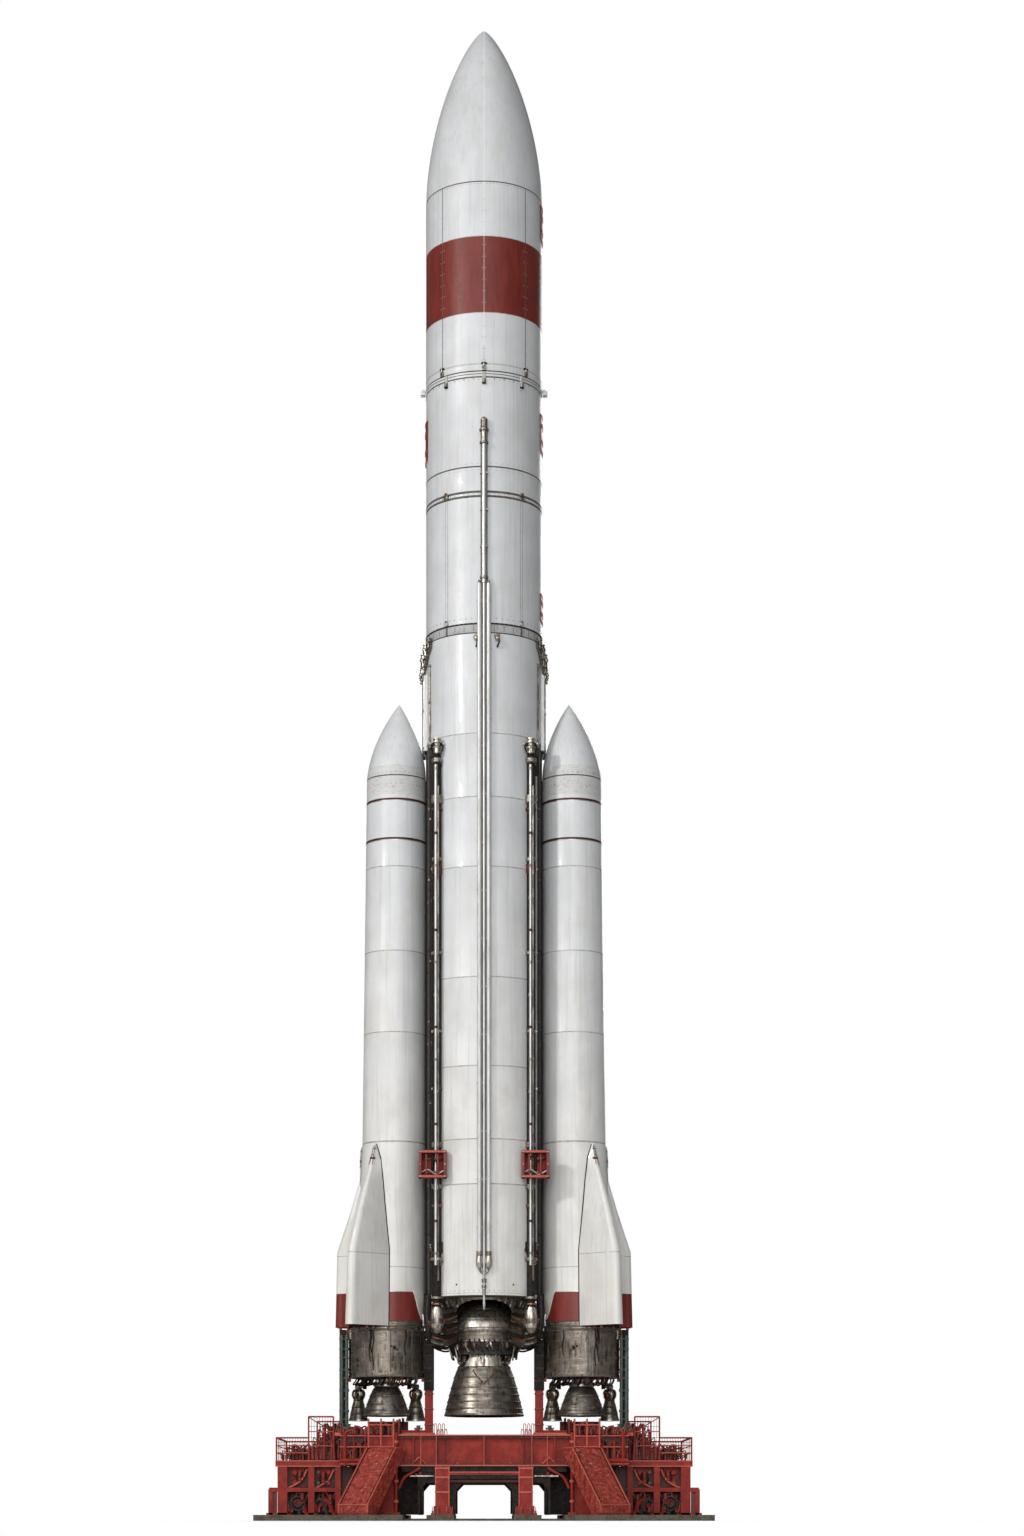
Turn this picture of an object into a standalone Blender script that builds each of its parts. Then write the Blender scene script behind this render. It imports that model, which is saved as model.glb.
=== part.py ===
"""Space rocket on its launch table, a 1:2 scale model: core stage, upper stage, opening nose fairing,
two strap-on boosters and the steel table that holds them. Metres, +Z up, front towards -Y."""

import math

import bmesh
import bpy
from mathutils import Matrix, Vector

# Gap left between solids that rest on each other, and the clearance of moving pieces
SEAT = 0.0003
CLEAR = 0.005

# Facets of a full turn, by size of the turned piece
FINE, MEDIUM, COARSE, SMALL = 48, 32, 20, 12

# Core stack: radius and heights above the floor
CORE_R = 1.125
TIP_Z = 29.0
OGIVE_Z = 25.62
FAIRING_Z = 21.96
STAGE_Z = 21.86
JUNCTION_TOP_Z = 17.13
JUNCTION_Z = 16.97
CORE_Z = 4.30
JUNCTION_R = 1.105
BASE_RING_R = 1.15

# Fairing: wall, ogive exponents and hinge at the outer foot of each half
FAIRING_WALL = 0.03
OGIVE_POWER, OGIVE_ROUND = 1.75, 0.75
HINGE_X, HINGE_Z = 1.20, 21.955
KNUCKLE_R, PIN_R, BORE_R = 0.03, 0.012, 0.0125
ADAPTER_R, ADAPTER_TOP_R, ADAPTER_TOP_Z = 0.95, 0.50, 22.70

# Cable raceway on the front of the core, one tube above and three below the stage junction
RACEWAY_TOP_Z, RACEWAY_SPLIT_Z, RACEWAY_END_Z = 21.06, 17.90, 4.72
RACEWAY_R, RACEWAY_OUTER_X, RACEWAY_OUTER_R, RACEWAY_BASE = 0.036, 0.09, 0.043, 0.12

# Feed lines beside the boosters, front and rear, and the red attach brackets that they pass
FEED_R, FEED_SADDLE, FEED_ANGLE = 0.085, 0.006, math.radians(41.5)
FEED_TOP_Z, FEED_END_Z = 15.05, 3.55
FEED_BULB_R, FEED_BULB_Z = 0.13, (3.62, 4.12)
FEED_HEAD_R, FEED_HEAD_Z = 0.12, 14.77
BRACKET_X, BRACKET_Y, BRACKET_Z = (0.72, 1.25), (0.28, 1.06), (6.56, 7.09)

# Side conduits below the junction, and the umbilical plates on the right side
CONDUIT_X, CONDUIT_Y, CONDUIT_Z = 1.165, 0.18, (14.95, 16.90)
PLATE_OUT, PLATE_HALF_Y = 1.175, 0.30
FAIRING_PLATE_Z = (24.84, 25.48)
# side, bottom, top
STAGE_PLATES = ((1, 20.75, 21.43), (1, 17.45, 17.95), (-1, 20.55, 21.30))

# Boosters: centre line offset, radius and height of each station from the nose tip down
BOOSTER_TIP_X, BOOSTER_TIP_Z = 1.650, 15.88
BOOSTER_TOP_X, BOOSTER_TOP_R, BOOSTER_TOP_Z = 1.706, 0.572, 14.40
BOOSTER_MID_X, BOOSTER_MID_R, BOOSTER_MID_Z = 1.755, 0.612, 7.30
BOOSTER_TAIL_X, BOOSTER_TAIL_R, BOOSTER_TAIL_Z = 1.840, 0.690, 3.84
COLLAR_R, COLLAR_Z = 0.655, 3.74
NOSE_POWER, NOSE_ROUND = 1.75, 0.95

# Tail fins: three thick fins a booster, at these angles from its outboard side
FIN_ANGLES = (0.0, 57.0, -57.0)
# Sections of a fin: height, half width, reach of the outboard fin, reach of the other two
FIN_SECTIONS = (
    (3.755, 0.385, 1.050, 1.400),
    (5.220, 0.345, 1.050, 1.380),
    (6.000, 0.255, 0.815, 1.120),
    (6.610, 0.190, 0.650, 0.880),
    (7.000, 0.145, 0.645, 0.720),
    (7.285, 0.030, 0.636, 0.640),
)
FIN_ROOT, FIN_SKIN_R, FIN_EDGE_SHARE, FIN_ROUND_STEPS = 0.47, 0.58, 0.30, 6

# Booster aft skirt with a recess below, its main nozzle and two swivelling verniers
SKIRT_X, SKIRT_R, SKIRT_Z, RECESS_R, RECESS_Z = 1.90, 0.736, 2.77, 0.70, 2.87
NOZZLE_WALL = 0.02
BOOSTER_NOZZLE = {"top_z": 2.59, "exit_z": 2.03, "top_r": 0.243, "exit_r": 0.460}
VERNIER_DX, VERNIER_Y, VERNIER_PIVOT_Z = 0.56, 0.36, 2.62
VERNIER = {"top_z": 2.48, "exit_z": 1.95, "top_r": 0.055, "exit_r": 0.190}
TRUNNION_R, TRUNNION_BORE_R = 0.025, 0.0256

# Core engine below the thrust cone
THRUST_CONE_TOP_R, THRUST_CONE_R, THRUST_CONE_Z = 0.86, 0.64, 3.80
ARCH_HALF, ARCH_RISE = 0.615, 0.42
POWERHEAD_R, POWERHEAD_Z, DOME_R, DOME_RISE = 0.614, 3.45, 0.60, 0.40
FLANGE_R, FLANGE_Z = 0.64, 3.755
GIMBAL_Z, GIMBAL_OUT_R, GIMBAL_IN_R, GIMBAL_HALF = 3.32, 0.27, 0.19, 0.035
LUG_NEAR, LUG_FAR, LUG_HALF = 0.30, 0.36, 0.05
ENGINE_PLATE_R, ENGINE_PLATE_Z = 0.30, (3.14, 3.19)
CORE_NOZZLE = {"top_z": 2.98, "exit_z": 2.03, "top_r": 0.506, "exit_r": 0.777}
CHAMBER_R = 0.38
MANIFOLD_R, MANIFOLD_TUBE = 0.455, 0.05
PUMP_X, PUMP_R, PUMP_TOP_Z = 0.47, 0.07, 3.24

# Launch table: heights of its levels
PAD_Z, LEG_Z, GIRDER_Z, DECK_Z, DECK_TOP_Z = 0.11, 1.03, 1.62, 1.60, 1.65
GIRDER_Y, GIRDER_HALF_X = 1.90, 1.66
FLANGE_HALF, FLANGE_T, FLANGE_TAPER, WEB_HALF = 0.125, 0.02, 0.004, 0.015
STIFFENERS_X, STIFFENER_HALF, STIFFENER_REACH = (-1.33, -0.90, 0.0, 0.90, 1.33), 0.01, 0.11
CROSS_X, DECK_X, FLAME_HOLE_R = 1.05, (0.93, 2.82), 0.62
INNER_LEG_X, INNER_FOOT_X, FOOT_Z, TIE_Z = (0.66, 0.91), (0.62, 0.95), 0.28, (0.79, 0.92)
CORNER_X, CORNER_Y, END_BEAM_Z = (1.70, 2.16), (1.60, 2.03), 1.15
END_BEAM_X, END_BEAM_Y = (2.53, 2.715), 1.77
COLUMN_Y = (-0.20, -0.04)
INNER_COLUMN_X, OUTER_COLUMN_X, OUTER_COLUMN_Z = (0.99, 1.15), (2.645, 2.80), 3.70
CLAMP_X, CLAMP_Z = (0.98, 1.155), (2.55, 3.50)
HEAD_Z = 2.70
DUCT_X, DUCT_Y, DUCT_WALL = (1.21, 2.50), 1.36, 0.06

# Sloped box struts at the four corners, heading outward by this angle
STRUT_ANGLE, STRUT_X, STRUT_Y = math.radians(30.0), 1.93, 2.19
STRUT_WIDTH, STRUT_RUN, STRUT_TOP_Z, STRUT_FOOT_Z, STRUT_DEPTH = 0.63, 0.98, 1.36, 0.30, 0.45

# Side platforms: deck, posts, low frame and railings
PLATFORM_X, PLATFORM_Y, PLATFORM_Z = (2.72, 3.96), 1.50, (1.03, 1.147)
POSTS_X = ((2.72, 2.825), (3.22, 3.34), (3.735, 3.92))
LOW_FRAME_X, LOW_FRAME_Z, POST_DEPTH = 4.08, (0.55, 0.63), 0.14
RAIL_T = 0.03
RAIL_LOW_Z, RAIL_HIGH_Z, RAIL_INNER_X, RAIL_STEP_X = 1.59, 1.99, 2.86, 3.33
CABINET_X, CABINET_Y, CABINET_TOP_Z, CABINET_STEP = (2.86, 3.70), 1.10, 0.98, 0.04
PAD_X, PAD_Y, INNER_PAD_X, INNER_PAD_Y, TIE_BAR_Z = (1.50, 4.25), 3.25, (0.56, 1.08), 2.15, 0.04

# Colour, metallic value and roughness of each finish
FINISHES = {
    "white_paint": ((0.80, 0.81, 0.82), 0.0, 0.35),
    "grey_alloy": ((0.42, 0.42, 0.40), 0.8, 0.4),
    "scorched_steel": ((0.16, 0.14, 0.12), 0.9, 0.45),
    "pipe_steel": ((0.48, 0.46, 0.42), 0.9, 0.35),
    "red_oxide_paint": ((0.30, 0.045, 0.025), 0.0, 0.55),
    "concrete": ((0.16, 0.155, 0.14), 0.0, 0.9),
}


def clear_scene():
    """Removes whatever the file starts with."""
    for old in list(bpy.data.objects):
        bpy.data.objects.remove(old, do_unlink=True)


def make_collection(name, helper=False):
    """A collection in the scene; a helper one holds cutters, which aren't rendered."""
    made = bpy.data.collections.new(name)
    bpy.context.scene.collection.children.link(made)
    made.hide_render = helper
    return made


def make_finish(name):
    """The Principled material of one finish."""
    colour, metallic, roughness = FINISHES[name]
    made = bpy.data.materials.new(name)
    made.use_nodes = True
    shader = made.node_tree.nodes["Principled BSDF"]
    shader.inputs["Base Color"].default_value = (*colour, 1.0)
    shader.inputs["Metallic"].default_value = metallic
    shader.inputs["Roughness"].default_value = roughness
    return made


class Builder:
    """Makes the objects, each in the parts collection or, as a helper, with the cutters."""

    def __init__(self):
        self.parts = make_collection("space_rocket")
        self.cutters = make_collection("cutters", helper=True)
        self.finishes = {name: make_finish(name) for name in FINISHES}

    def place(self, name, mesh, finish=None):
        """An object of this mesh: a part where it has a finish, otherwise a hidden helper."""
        made = bpy.data.objects.new(name, mesh)
        if finish:
            mesh.materials.append(self.finishes[finish])
            self.parts.objects.link(made)
            return made
        self.cutters.objects.link(made)
        made.hide_render = True
        made.display_type = "WIRE"
        return made

    def box(self, name, low, high, finish=None):
        """A box between two corners."""
        low, high = Vector(low), Vector(high)
        grid = bmesh.new()
        size = Matrix.Diagonal((*(high - low), 1.0))
        bmesh.ops.create_cube(grid, size=1.0, matrix=Matrix.Translation((low + high) / 2) @ size)
        return self.place(name, self.finished(name, grid), finish)

    def bar(self, name, start, end, radius, finish=None, segments=SMALL, end_radius=None):
        """A round bar, or a frustum, between two points."""
        start, end = Vector(start), Vector(end)
        along = end - start
        turn = along.to_track_quat("Z", "Y").to_matrix().to_4x4()
        grid = bmesh.new()
        bmesh.ops.create_cone(
            grid, cap_ends=True, segments=segments, radius1=radius,
            radius2=radius if end_radius is None else end_radius, depth=along.length,
            matrix=Matrix.Translation((start + end) / 2) @ turn,
        )
        return self.place(name, self.finished(name, grid), finish)

    def turned(self, name, profile, steps, finish=None):
        """A profile of (radius, height) points, from the top down its outer side, turned about Z."""
        mesh = bpy.data.meshes.new(name)
        points = [(radius, 0.0, height) for radius, height in profile]
        ends_on_axis = profile[0][0] == 0.0 and profile[-1][0] == 0.0
        edges = [(i, i + 1) for i in range(len(points) - 1)]
        if not ends_on_axis:
            edges.append((len(points) - 1, 0))
        mesh.from_pydata(points, edges, [])
        made = self.place(name, mesh, finish)
        screw = made.modifiers.new("turn", "SCREW")
        screw.steps = screw.render_steps = steps
        screw.use_merge_vertices = True
        screw.merge_threshold = 0.00005
        screw.use_smooth_shade = True
        return made

    def outline(self, name, points, half_depth, matrix, finish=None):
        """A flat outline of (x, y) points, extruded both ways and put in place by the matrix."""
        curve = bpy.data.curves.new(name, "CURVE")
        curve.dimensions = "2D"
        curve.fill_mode = "BOTH"
        curve.extrude = half_depth
        line = curve.splines.new("POLY")
        line.points.add(len(points) - 1)
        for point, (x, y) in zip(line.points, points):
            point.co = (x, y, 0.0, 1.0)
        line.use_cyclic_u = True
        guide = bpy.data.objects.new(name + "_outline", curve)
        self.cutters.objects.link(guide)
        bpy.context.view_layer.update()
        graph = bpy.context.evaluated_depsgraph_get()
        mesh = bpy.data.meshes.new_from_object(guide.evaluated_get(graph))
        bpy.data.objects.remove(guide, do_unlink=True)
        grid = bmesh.new()
        grid.from_mesh(mesh)
        bmesh.ops.remove_doubles(grid, verts=grid.verts, dist=0.00005)
        bmesh.ops.transform(grid, matrix=matrix, verts=grid.verts)
        return self.place(name, self.finished(name, grid), finish)

    def finished(self, name, grid):
        """A mesh of the bmesh, with its faces outward."""
        bmesh.ops.recalc_face_normals(grid, faces=grid.faces)
        mesh = bpy.data.meshes.new(name)
        grid.to_mesh(mesh)
        grid.free()
        return mesh

    def combine(self, base, tool, operation):
        """One exact Boolean on the base."""
        step = base.modifiers.new(f"{operation.lower()}_{tool.name}", "BOOLEAN")
        step.operation = operation
        step.solver = "EXACT"
        step.object = tool
        return base

    def fuse(self, base, *tools):
        """Joins the tools to the base as one body."""
        for tool in tools:
            self.combine(base, tool, "UNION")
        return base

    def cut(self, base, *tools):
        """Takes the tools out of the base."""
        for tool in tools:
            self.combine(base, tool, "DIFFERENCE")
        return base


def sided(side, low, high):
    """An x range on the left (side -1) or right (side 1), low end first."""
    return tuple(sorted((side * low, side * high)))


def side_name(side):
    return "left" if side < 0 else "right"


def end_name(end):
    return "front" if end < 0 else "rear"


def blunt_radius(fraction, power, rounding):
    """Radius of a nose as a share of its base radius, at this fraction of its height."""
    return (1.0 - fraction**power) ** rounding


def ogive_profile(base_r, base_z, tip_z, steps):
    """Points of the fairing's outer side from the tip down, closer together near the tip."""
    points = [(0.0, tip_z)]
    for step in range(1, steps + 1):
        fraction = 1.0 - (step / steps) ** 2
        radius = base_r * blunt_radius(fraction, OGIVE_POWER, OGIVE_ROUND)
        points.append((radius, base_z + fraction * (tip_z - base_z)))
    return points


def bell_profile(bell, steps=3):
    """Outer side of a nozzle bell from its top to its exit."""
    points = []
    for step in range(steps + 1):
        share = step / steps
        radius = bell["top_r"] + (bell["exit_r"] - bell["top_r"]) * share**0.8
        points.append((radius, bell["top_z"] + (bell["exit_z"] - bell["top_z"]) * share))
    return points


def bell_inside(bell, wall, floor_z):
    """Inner side of a nozzle bell from its exit up to the axis."""
    inner = [(radius - wall, height) for radius, height in reversed(bell_profile(bell))]
    inner[-1] = (inner[-1][0], floor_z)
    return inner + [(0.0, floor_z)]


def sheared(made, top_x, top_z, low_x, low_z):
    """Leans a turned piece, so that its axis runs through both points. An object's matrix holds
    no shear, so its turned mesh takes it."""
    slope = (top_x - low_x) / (top_z - low_z)
    lean = Matrix.Identity(4)
    lean[0][2] = slope
    lean[0][3] = low_x - slope * low_z
    bpy.context.view_layer.update()
    graph = bpy.context.evaluated_depsgraph_get()
    mesh = bpy.data.meshes.new_from_object(made.evaluated_get(graph))
    mesh.transform(lean)
    made.modifiers.clear()
    made.data = mesh
    return made


def build_fairing(make):
    """Two half shells that open outward about hinges at their feet, and the payload adapter."""
    outer = ogive_profile(CORE_R, OGIVE_Z, TIP_Z, 9)
    inner = ogive_profile(CORE_R - FAIRING_WALL, OGIVE_Z, TIP_Z - FAIRING_WALL, 9)
    foot_z = FAIRING_Z + CLEAR
    shell = outer + [(CORE_R, foot_z), (CORE_R - FAIRING_WALL, foot_z)] + inner[::-1]
    reach = 2.0
    for side in (-1, 1):
        name = f"fairing_{side_name(side)}"
        half = make.turned(name, shell, FINE, "white_paint")
        low, high = sided(side, CLEAR / 2, -reach)
        slab = make.box(name + "_half_cut", (low, -reach, FAIRING_Z - 1), (high, reach, TIP_Z + 1))
        make.cut(half, slab)
        knuckle = make.bar(
            name + "_knuckle", (side * HINGE_X, -0.04, HINGE_Z), (side * HINGE_X, 0.04, HINGE_Z),
            KNUCKLE_R,
        )
        low, high = sided(side, CORE_R - 0.01, HINGE_X)
        web = make.box(name + "_web", (low, -0.04, foot_z), (high, 0.04, foot_z + 0.055))
        make.fuse(half, knuckle, web)
        if side > 0:
            plate = make.box(
                name + "_plate", (CORE_R - 0.05, -PLATE_HALF_Y, FAIRING_PLATE_Z[0]),
                (PLATE_OUT, PLATE_HALF_Y, FAIRING_PLATE_Z[1]),
            )
            inside = make.bar(
                name + "_inside", (0, 0, FAIRING_Z), (0, 0, OGIVE_Z), CORE_R - FAIRING_WALL / 2,
                segments=FINE,
            )
            make.cut(plate, inside)
            make.fuse(half, plate)
        bore = make.bar(
            name + "_bore", (side * HINGE_X, -0.1, HINGE_Z), (side * HINGE_X, 0.1, HINGE_Z), BORE_R
        )
        make.cut(half, bore)
    ring = make.turned(
        "fairing_base_ring",
        [(0, FAIRING_Z), (BASE_RING_R, FAIRING_Z), (BASE_RING_R, STAGE_Z), (0, STAGE_Z)],
        FINE, "grey_alloy",
    )
    for side in (-1, 1):
        for y in (-1, 1):
            low, high = sided(side, 1.14, HINGE_X + 0.035)
            near, far = sorted((y * 0.046, y * 0.076))
            cheek = make.box(
                f"cheek_{side_name(side)}_{end_name(y)}", (low, near, STAGE_Z + 0.02),
                (high, far, HINGE_Z + 0.02),
            )
            make.fuse(ring, cheek)
        pin = make.bar(
            f"hinge_pin_{side_name(side)}", (side * HINGE_X, -0.07, HINGE_Z),
            (side * HINGE_X, 0.07, HINGE_Z), PIN_R,
        )
        make.fuse(ring, pin)
    make.bar(
        "payload_adapter", (0, 0, FAIRING_Z + SEAT), (0, 0, ADAPTER_TOP_Z), ADAPTER_R,
        "grey_alloy", MEDIUM, ADAPTER_TOP_R,
    )


def build_core(make):
    """Upper stage, stage junction and core stage, with the umbilical plates on the right."""
    upper = make.bar(
        "upper_stage", (0, 0, JUNCTION_TOP_Z), (0, 0, STAGE_Z - SEAT), CORE_R, "white_paint", FINE
    )
    for number, (side, low_z, high_z) in enumerate(STAGE_PLATES):
        low, high = sided(side, CORE_R - 0.1, PLATE_OUT)
        plate = make.box(f"umbilical_plate_{number}", (low, -PLATE_HALF_Y, low_z),
                         (high, PLATE_HALF_Y, high_z))
        make.fuse(upper, plate)
    make.bar(
        "stage_junction_ring", (0, 0, JUNCTION_Z + SEAT), (0, 0, JUNCTION_TOP_Z - SEAT),
        JUNCTION_R, "grey_alloy", FINE,
    )
    make.bar("core_stage", (0, 0, CORE_Z), (0, 0, JUNCTION_Z), CORE_R, "white_paint", FINE)
    for side in (-1, 1):
        low, high = sided(side, CORE_R - 0.05, CONDUIT_X)
        conduit = make.box(
            f"side_conduit_{side_name(side)}", (low, -CONDUIT_Y, CONDUIT_Z[0]),
            (high, CONDUIT_Y, CONDUIT_Z[1]), "pipe_steel",
        )
        make.cut(conduit, core_cutter(make, f"conduit_{side_name(side)}", CONDUIT_Z))


def core_cutter(make, name, heights):
    """A cylinder a seat's gap larger than the core, to shape what lies against it."""
    radius = CORE_R + SEAT / math.cos(math.pi / FINE)
    low, high = heights
    return make.bar(
        name + "_core_cut", (0, 0, low - 0.1), (0, 0, high + 0.1), radius, segments=FINE
    )


def arc_points(centre, radius, start, end, steps):
    """Points along an arc, both ends included."""
    x, y = centre
    angles = [start + (end - start) * step / steps for step in range(steps + 1)]
    return [(x + radius * math.cos(a), y + radius * math.sin(a)) for a in angles]


def build_raceway(make):
    """The cable raceway down the core's front, drawn as a plan outline and extruded."""
    back_y = -(CORE_R + SEAT)
    centre_y = back_y - RACEWAY_OUTER_R - 0.01
    lower = [(RACEWAY_BASE, back_y), (-RACEWAY_BASE, back_y), (-RACEWAY_BASE, back_y - 0.012)]
    for x, radius in (
        (-RACEWAY_OUTER_X, RACEWAY_OUTER_R), (0.0, RACEWAY_R), (RACEWAY_OUTER_X, RACEWAY_OUTER_R),
    ):
        start, end = math.radians(165), math.radians(375)
        lower += arc_points((x, centre_y), radius, start, end, 8)
    lower.append((RACEWAY_BASE, back_y - 0.012))
    upper = [(0.07, back_y), (-0.07, back_y), (-0.07, back_y - 0.012)]
    upper += arc_points((0.0, centre_y), 0.045, math.radians(165), math.radians(375), 8)
    upper.append((0.07, back_y - 0.012))
    # name, outline, bottom, top
    for name, points, low, high in (
        ("cable_raceway_lower", lower, RACEWAY_END_Z, RACEWAY_SPLIT_Z),
        ("cable_raceway_upper", upper, RACEWAY_SPLIT_Z + SEAT, RACEWAY_TOP_Z),
    ):
        middle = Matrix.Translation((0, 0, (low + high) / 2))
        make.outline(name, points, (high - low) / 2, middle, "pipe_steel")


def tail_profile(offset=0.0):
    """Outer side of a booster's tail and its collar, or one this much larger for a cutter."""
    return [
        (0, BOOSTER_MID_Z), (BOOSTER_MID_R + offset, BOOSTER_MID_Z),
        (BOOSTER_TAIL_R + offset, BOOSTER_TAIL_Z), (COLLAR_R, BOOSTER_TAIL_Z),
        (COLLAR_R, COLLAR_Z), (0, COLLAR_Z),
    ]


def lean_tail(made, side):
    """Leans a tail, or its cutter, outward on its side."""
    return sheared(
        made, side * BOOSTER_MID_X, BOOSTER_MID_Z, side * BOOSTER_TAIL_X, BOOSTER_TAIL_Z
    )


def build_feed_lines(make):
    """A feed line and its red attach bracket at each side, front and rear."""
    distance = CORE_R + FEED_R - FEED_SADDLE
    x, y = distance * math.cos(FEED_ANGLE), distance * math.sin(FEED_ANGLE)
    profile = [
        (0, FEED_TOP_Z), (FEED_HEAD_R, FEED_TOP_Z), (FEED_HEAD_R, FEED_HEAD_Z),
        (FEED_R, FEED_HEAD_Z), (FEED_R, FEED_BULB_Z[1]), (FEED_BULB_R, FEED_BULB_Z[1] - 0.1),
        (FEED_BULB_R, FEED_BULB_Z[0] + 0.1), (FEED_R * 0.6, FEED_END_Z), (0, FEED_END_Z),
    ]
    for side in (-1, 1):
        for end in (-1, 1):
            name = f"{side_name(side)}_{end_name(end)}"
            line = make.turned(f"feed_line_{name}", profile, SMALL, "pipe_steel")
            line.location = (side * x, end * y, 0)
            make.cut(line, core_cutter(make, f"feed_{name}", (CORE_Z, FEED_TOP_Z)))
            low, high = sided(side, *BRACKET_X)
            near, far = sorted((end * BRACKET_Y[0], end * BRACKET_Y[1]))
            bracket = make.box(
                f"attach_bracket_{name}", (low, near, BRACKET_Z[0]), (high, far, BRACKET_Z[1]),
                "red_oxide_paint",
            )
            tank = make.turned(f"tank_cut_{name}", tail_profile(SEAT / math.cos(math.pi / MEDIUM)),
                               MEDIUM)
            lean_tail(tank, side)
            pipe = make.bar(
                f"pipe_cut_{name}", (side * x, end * y, BRACKET_Z[0] - 0.1),
                (side * x, end * y, BRACKET_Z[1] + 0.1), FEED_R + CLEAR, segments=COARSE,
            )
            make.cut(bracket, core_cutter(make, f"bracket_{name}", BRACKET_Z), tank, pipe)


def build_engine(make):
    """Thrust cone and domed powerhead, fixed, with a two-axis gimbal that carries the nozzle."""
    cone = make.turned(
        "thrust_cone",
        [
            (0, CORE_Z - SEAT), (THRUST_CONE_TOP_R, CORE_Z - SEAT), (THRUST_CONE_R, THRUST_CONE_Z),
            (0, THRUST_CONE_Z),
        ],
        MEDIUM, "scorched_steel",
    )
    arch = [(ARCH_HALF, THRUST_CONE_Z - 0.1)]
    for step in range(13):
        angle = math.pi * step / 12
        arch.append((ARCH_HALF * math.cos(angle), THRUST_CONE_Z + ARCH_RISE * math.sin(angle)))
    arch.append((-ARCH_HALF, THRUST_CONE_Z - 0.1))
    make.cut(cone, make.outline("thrust_cone_arch", arch, THRUST_CONE_TOP_R + 0.1, STAND_X))
    flange_top = THRUST_CONE_Z - SEAT
    dome = [(0, flange_top + DOME_RISE)]
    for step in range(1, 6):
        angle = math.pi / 2 * (1 - step / 5)
        dome.append((DOME_R * math.cos(angle), flange_top + DOME_RISE * math.sin(angle)))
    head = make.turned(
        "core_powerhead",
        dome + [
            (FLANGE_R, flange_top), (FLANGE_R, FLANGE_Z), (POWERHEAD_R, FLANGE_Z),
            (POWERHEAD_R, POWERHEAD_Z), (0, POWERHEAD_Z),
        ],
        MEDIUM, "scorched_steel",
    )
    lug_low = GIMBAL_Z - LUG_HALF
    for side in (-1, 1):
        low, high = sided(side, LUG_NEAR, LUG_FAR)
        lug = make.box(
            f"fixed_lug_{side_name(side)}", (low, -LUG_HALF, lug_low),
            (high, LUG_HALF, POWERHEAD_Z + 0.02),
        )
        make.fuse(head, lug)
    reach = LUG_FAR + 0.05
    make.cut(head, make.bar("fixed_lug_bore", (-reach, 0, GIMBAL_Z), (reach, 0, GIMBAL_Z),
                            TRUNNION_BORE_R, segments=COARSE))
    ring = make.turned(
        "gimbal_ring",
        [
            (GIMBAL_IN_R, GIMBAL_Z + GIMBAL_HALF), (GIMBAL_OUT_R, GIMBAL_Z + GIMBAL_HALF),
            (GIMBAL_OUT_R, GIMBAL_Z - GIMBAL_HALF), (GIMBAL_IN_R, GIMBAL_Z - GIMBAL_HALF),
        ],
        COARSE, "grey_alloy",
    )
    middle = (GIMBAL_IN_R + GIMBAL_OUT_R) / 2
    for axis in (Vector((1, 0, 0)), Vector((0, 1, 0))):
        for way in (-1, 1):
            start, end = axis * way * middle, axis * way * (LUG_FAR - 0.01)
            lift = Vector((0, 0, GIMBAL_Z))
            pin = make.bar(f"gimbal_pin_{int(axis.x)}_{way}", start + lift, end + lift,
                           TRUNNION_R, segments=COARSE)
            make.fuse(ring, pin)
    top, exit_side = CORE_NOZZLE["top_z"], bell_profile(CORE_NOZZLE)
    nozzle = make.turned(
        "core_nozzle",
        [(0, ENGINE_PLATE_Z[1]), (ENGINE_PLATE_R, ENGINE_PLATE_Z[1]),
         (ENGINE_PLATE_R, ENGINE_PLATE_Z[0]), (0.24, ENGINE_PLATE_Z[0]), (CHAMBER_R, top + 0.03),
         (CORE_NOZZLE["top_r"], top + 0.03)]
        + exit_side
        + bell_inside(CORE_NOZZLE, NOZZLE_WALL, top - 0.03),
        MEDIUM, "scorched_steel",
    )
    for way in (-1, 1):
        near, far = sorted((way * (LUG_NEAR - 0.06), way * LUG_FAR))
        foot = make.box(f"engine_foot_{end_name(way)}", (-LUG_HALF, near, ENGINE_PLATE_Z[0]),
                        (LUG_HALF, far, ENGINE_PLATE_Z[1]))
        near, far = sorted((way * LUG_NEAR, way * LUG_FAR))
        lug = make.box(f"engine_lug_{end_name(way)}", (-LUG_HALF, near, ENGINE_PLATE_Z[0] + 0.01),
                       (LUG_HALF, far, GIMBAL_Z + LUG_HALF))
        make.fuse(nozzle, foot, lug)
    make.cut(nozzle, make.bar("engine_lug_bore", (0, -reach, GIMBAL_Z), (0, reach, GIMBAL_Z),
                              TRUNNION_BORE_R, segments=COARSE))
    manifold_z = top + 0.03 + SEAT + MANIFOLD_TUBE
    circle = [
        (MANIFOLD_R + MANIFOLD_TUBE * math.sin(a), manifold_z + MANIFOLD_TUBE * math.cos(a))
        for a in (2 * math.pi * step / 8 for step in range(8))
    ]
    manifold = make.turned("engine_manifold", circle, MEDIUM, "pipe_steel")
    for side in (-1, 1):
        pump = make.bar(f"pump_{side_name(side)}", (side * PUMP_X, 0, manifold_z),
                        (side * PUMP_X, 0, PUMP_TOP_Z), PUMP_R)
        make.fuse(manifold, pump)


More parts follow.
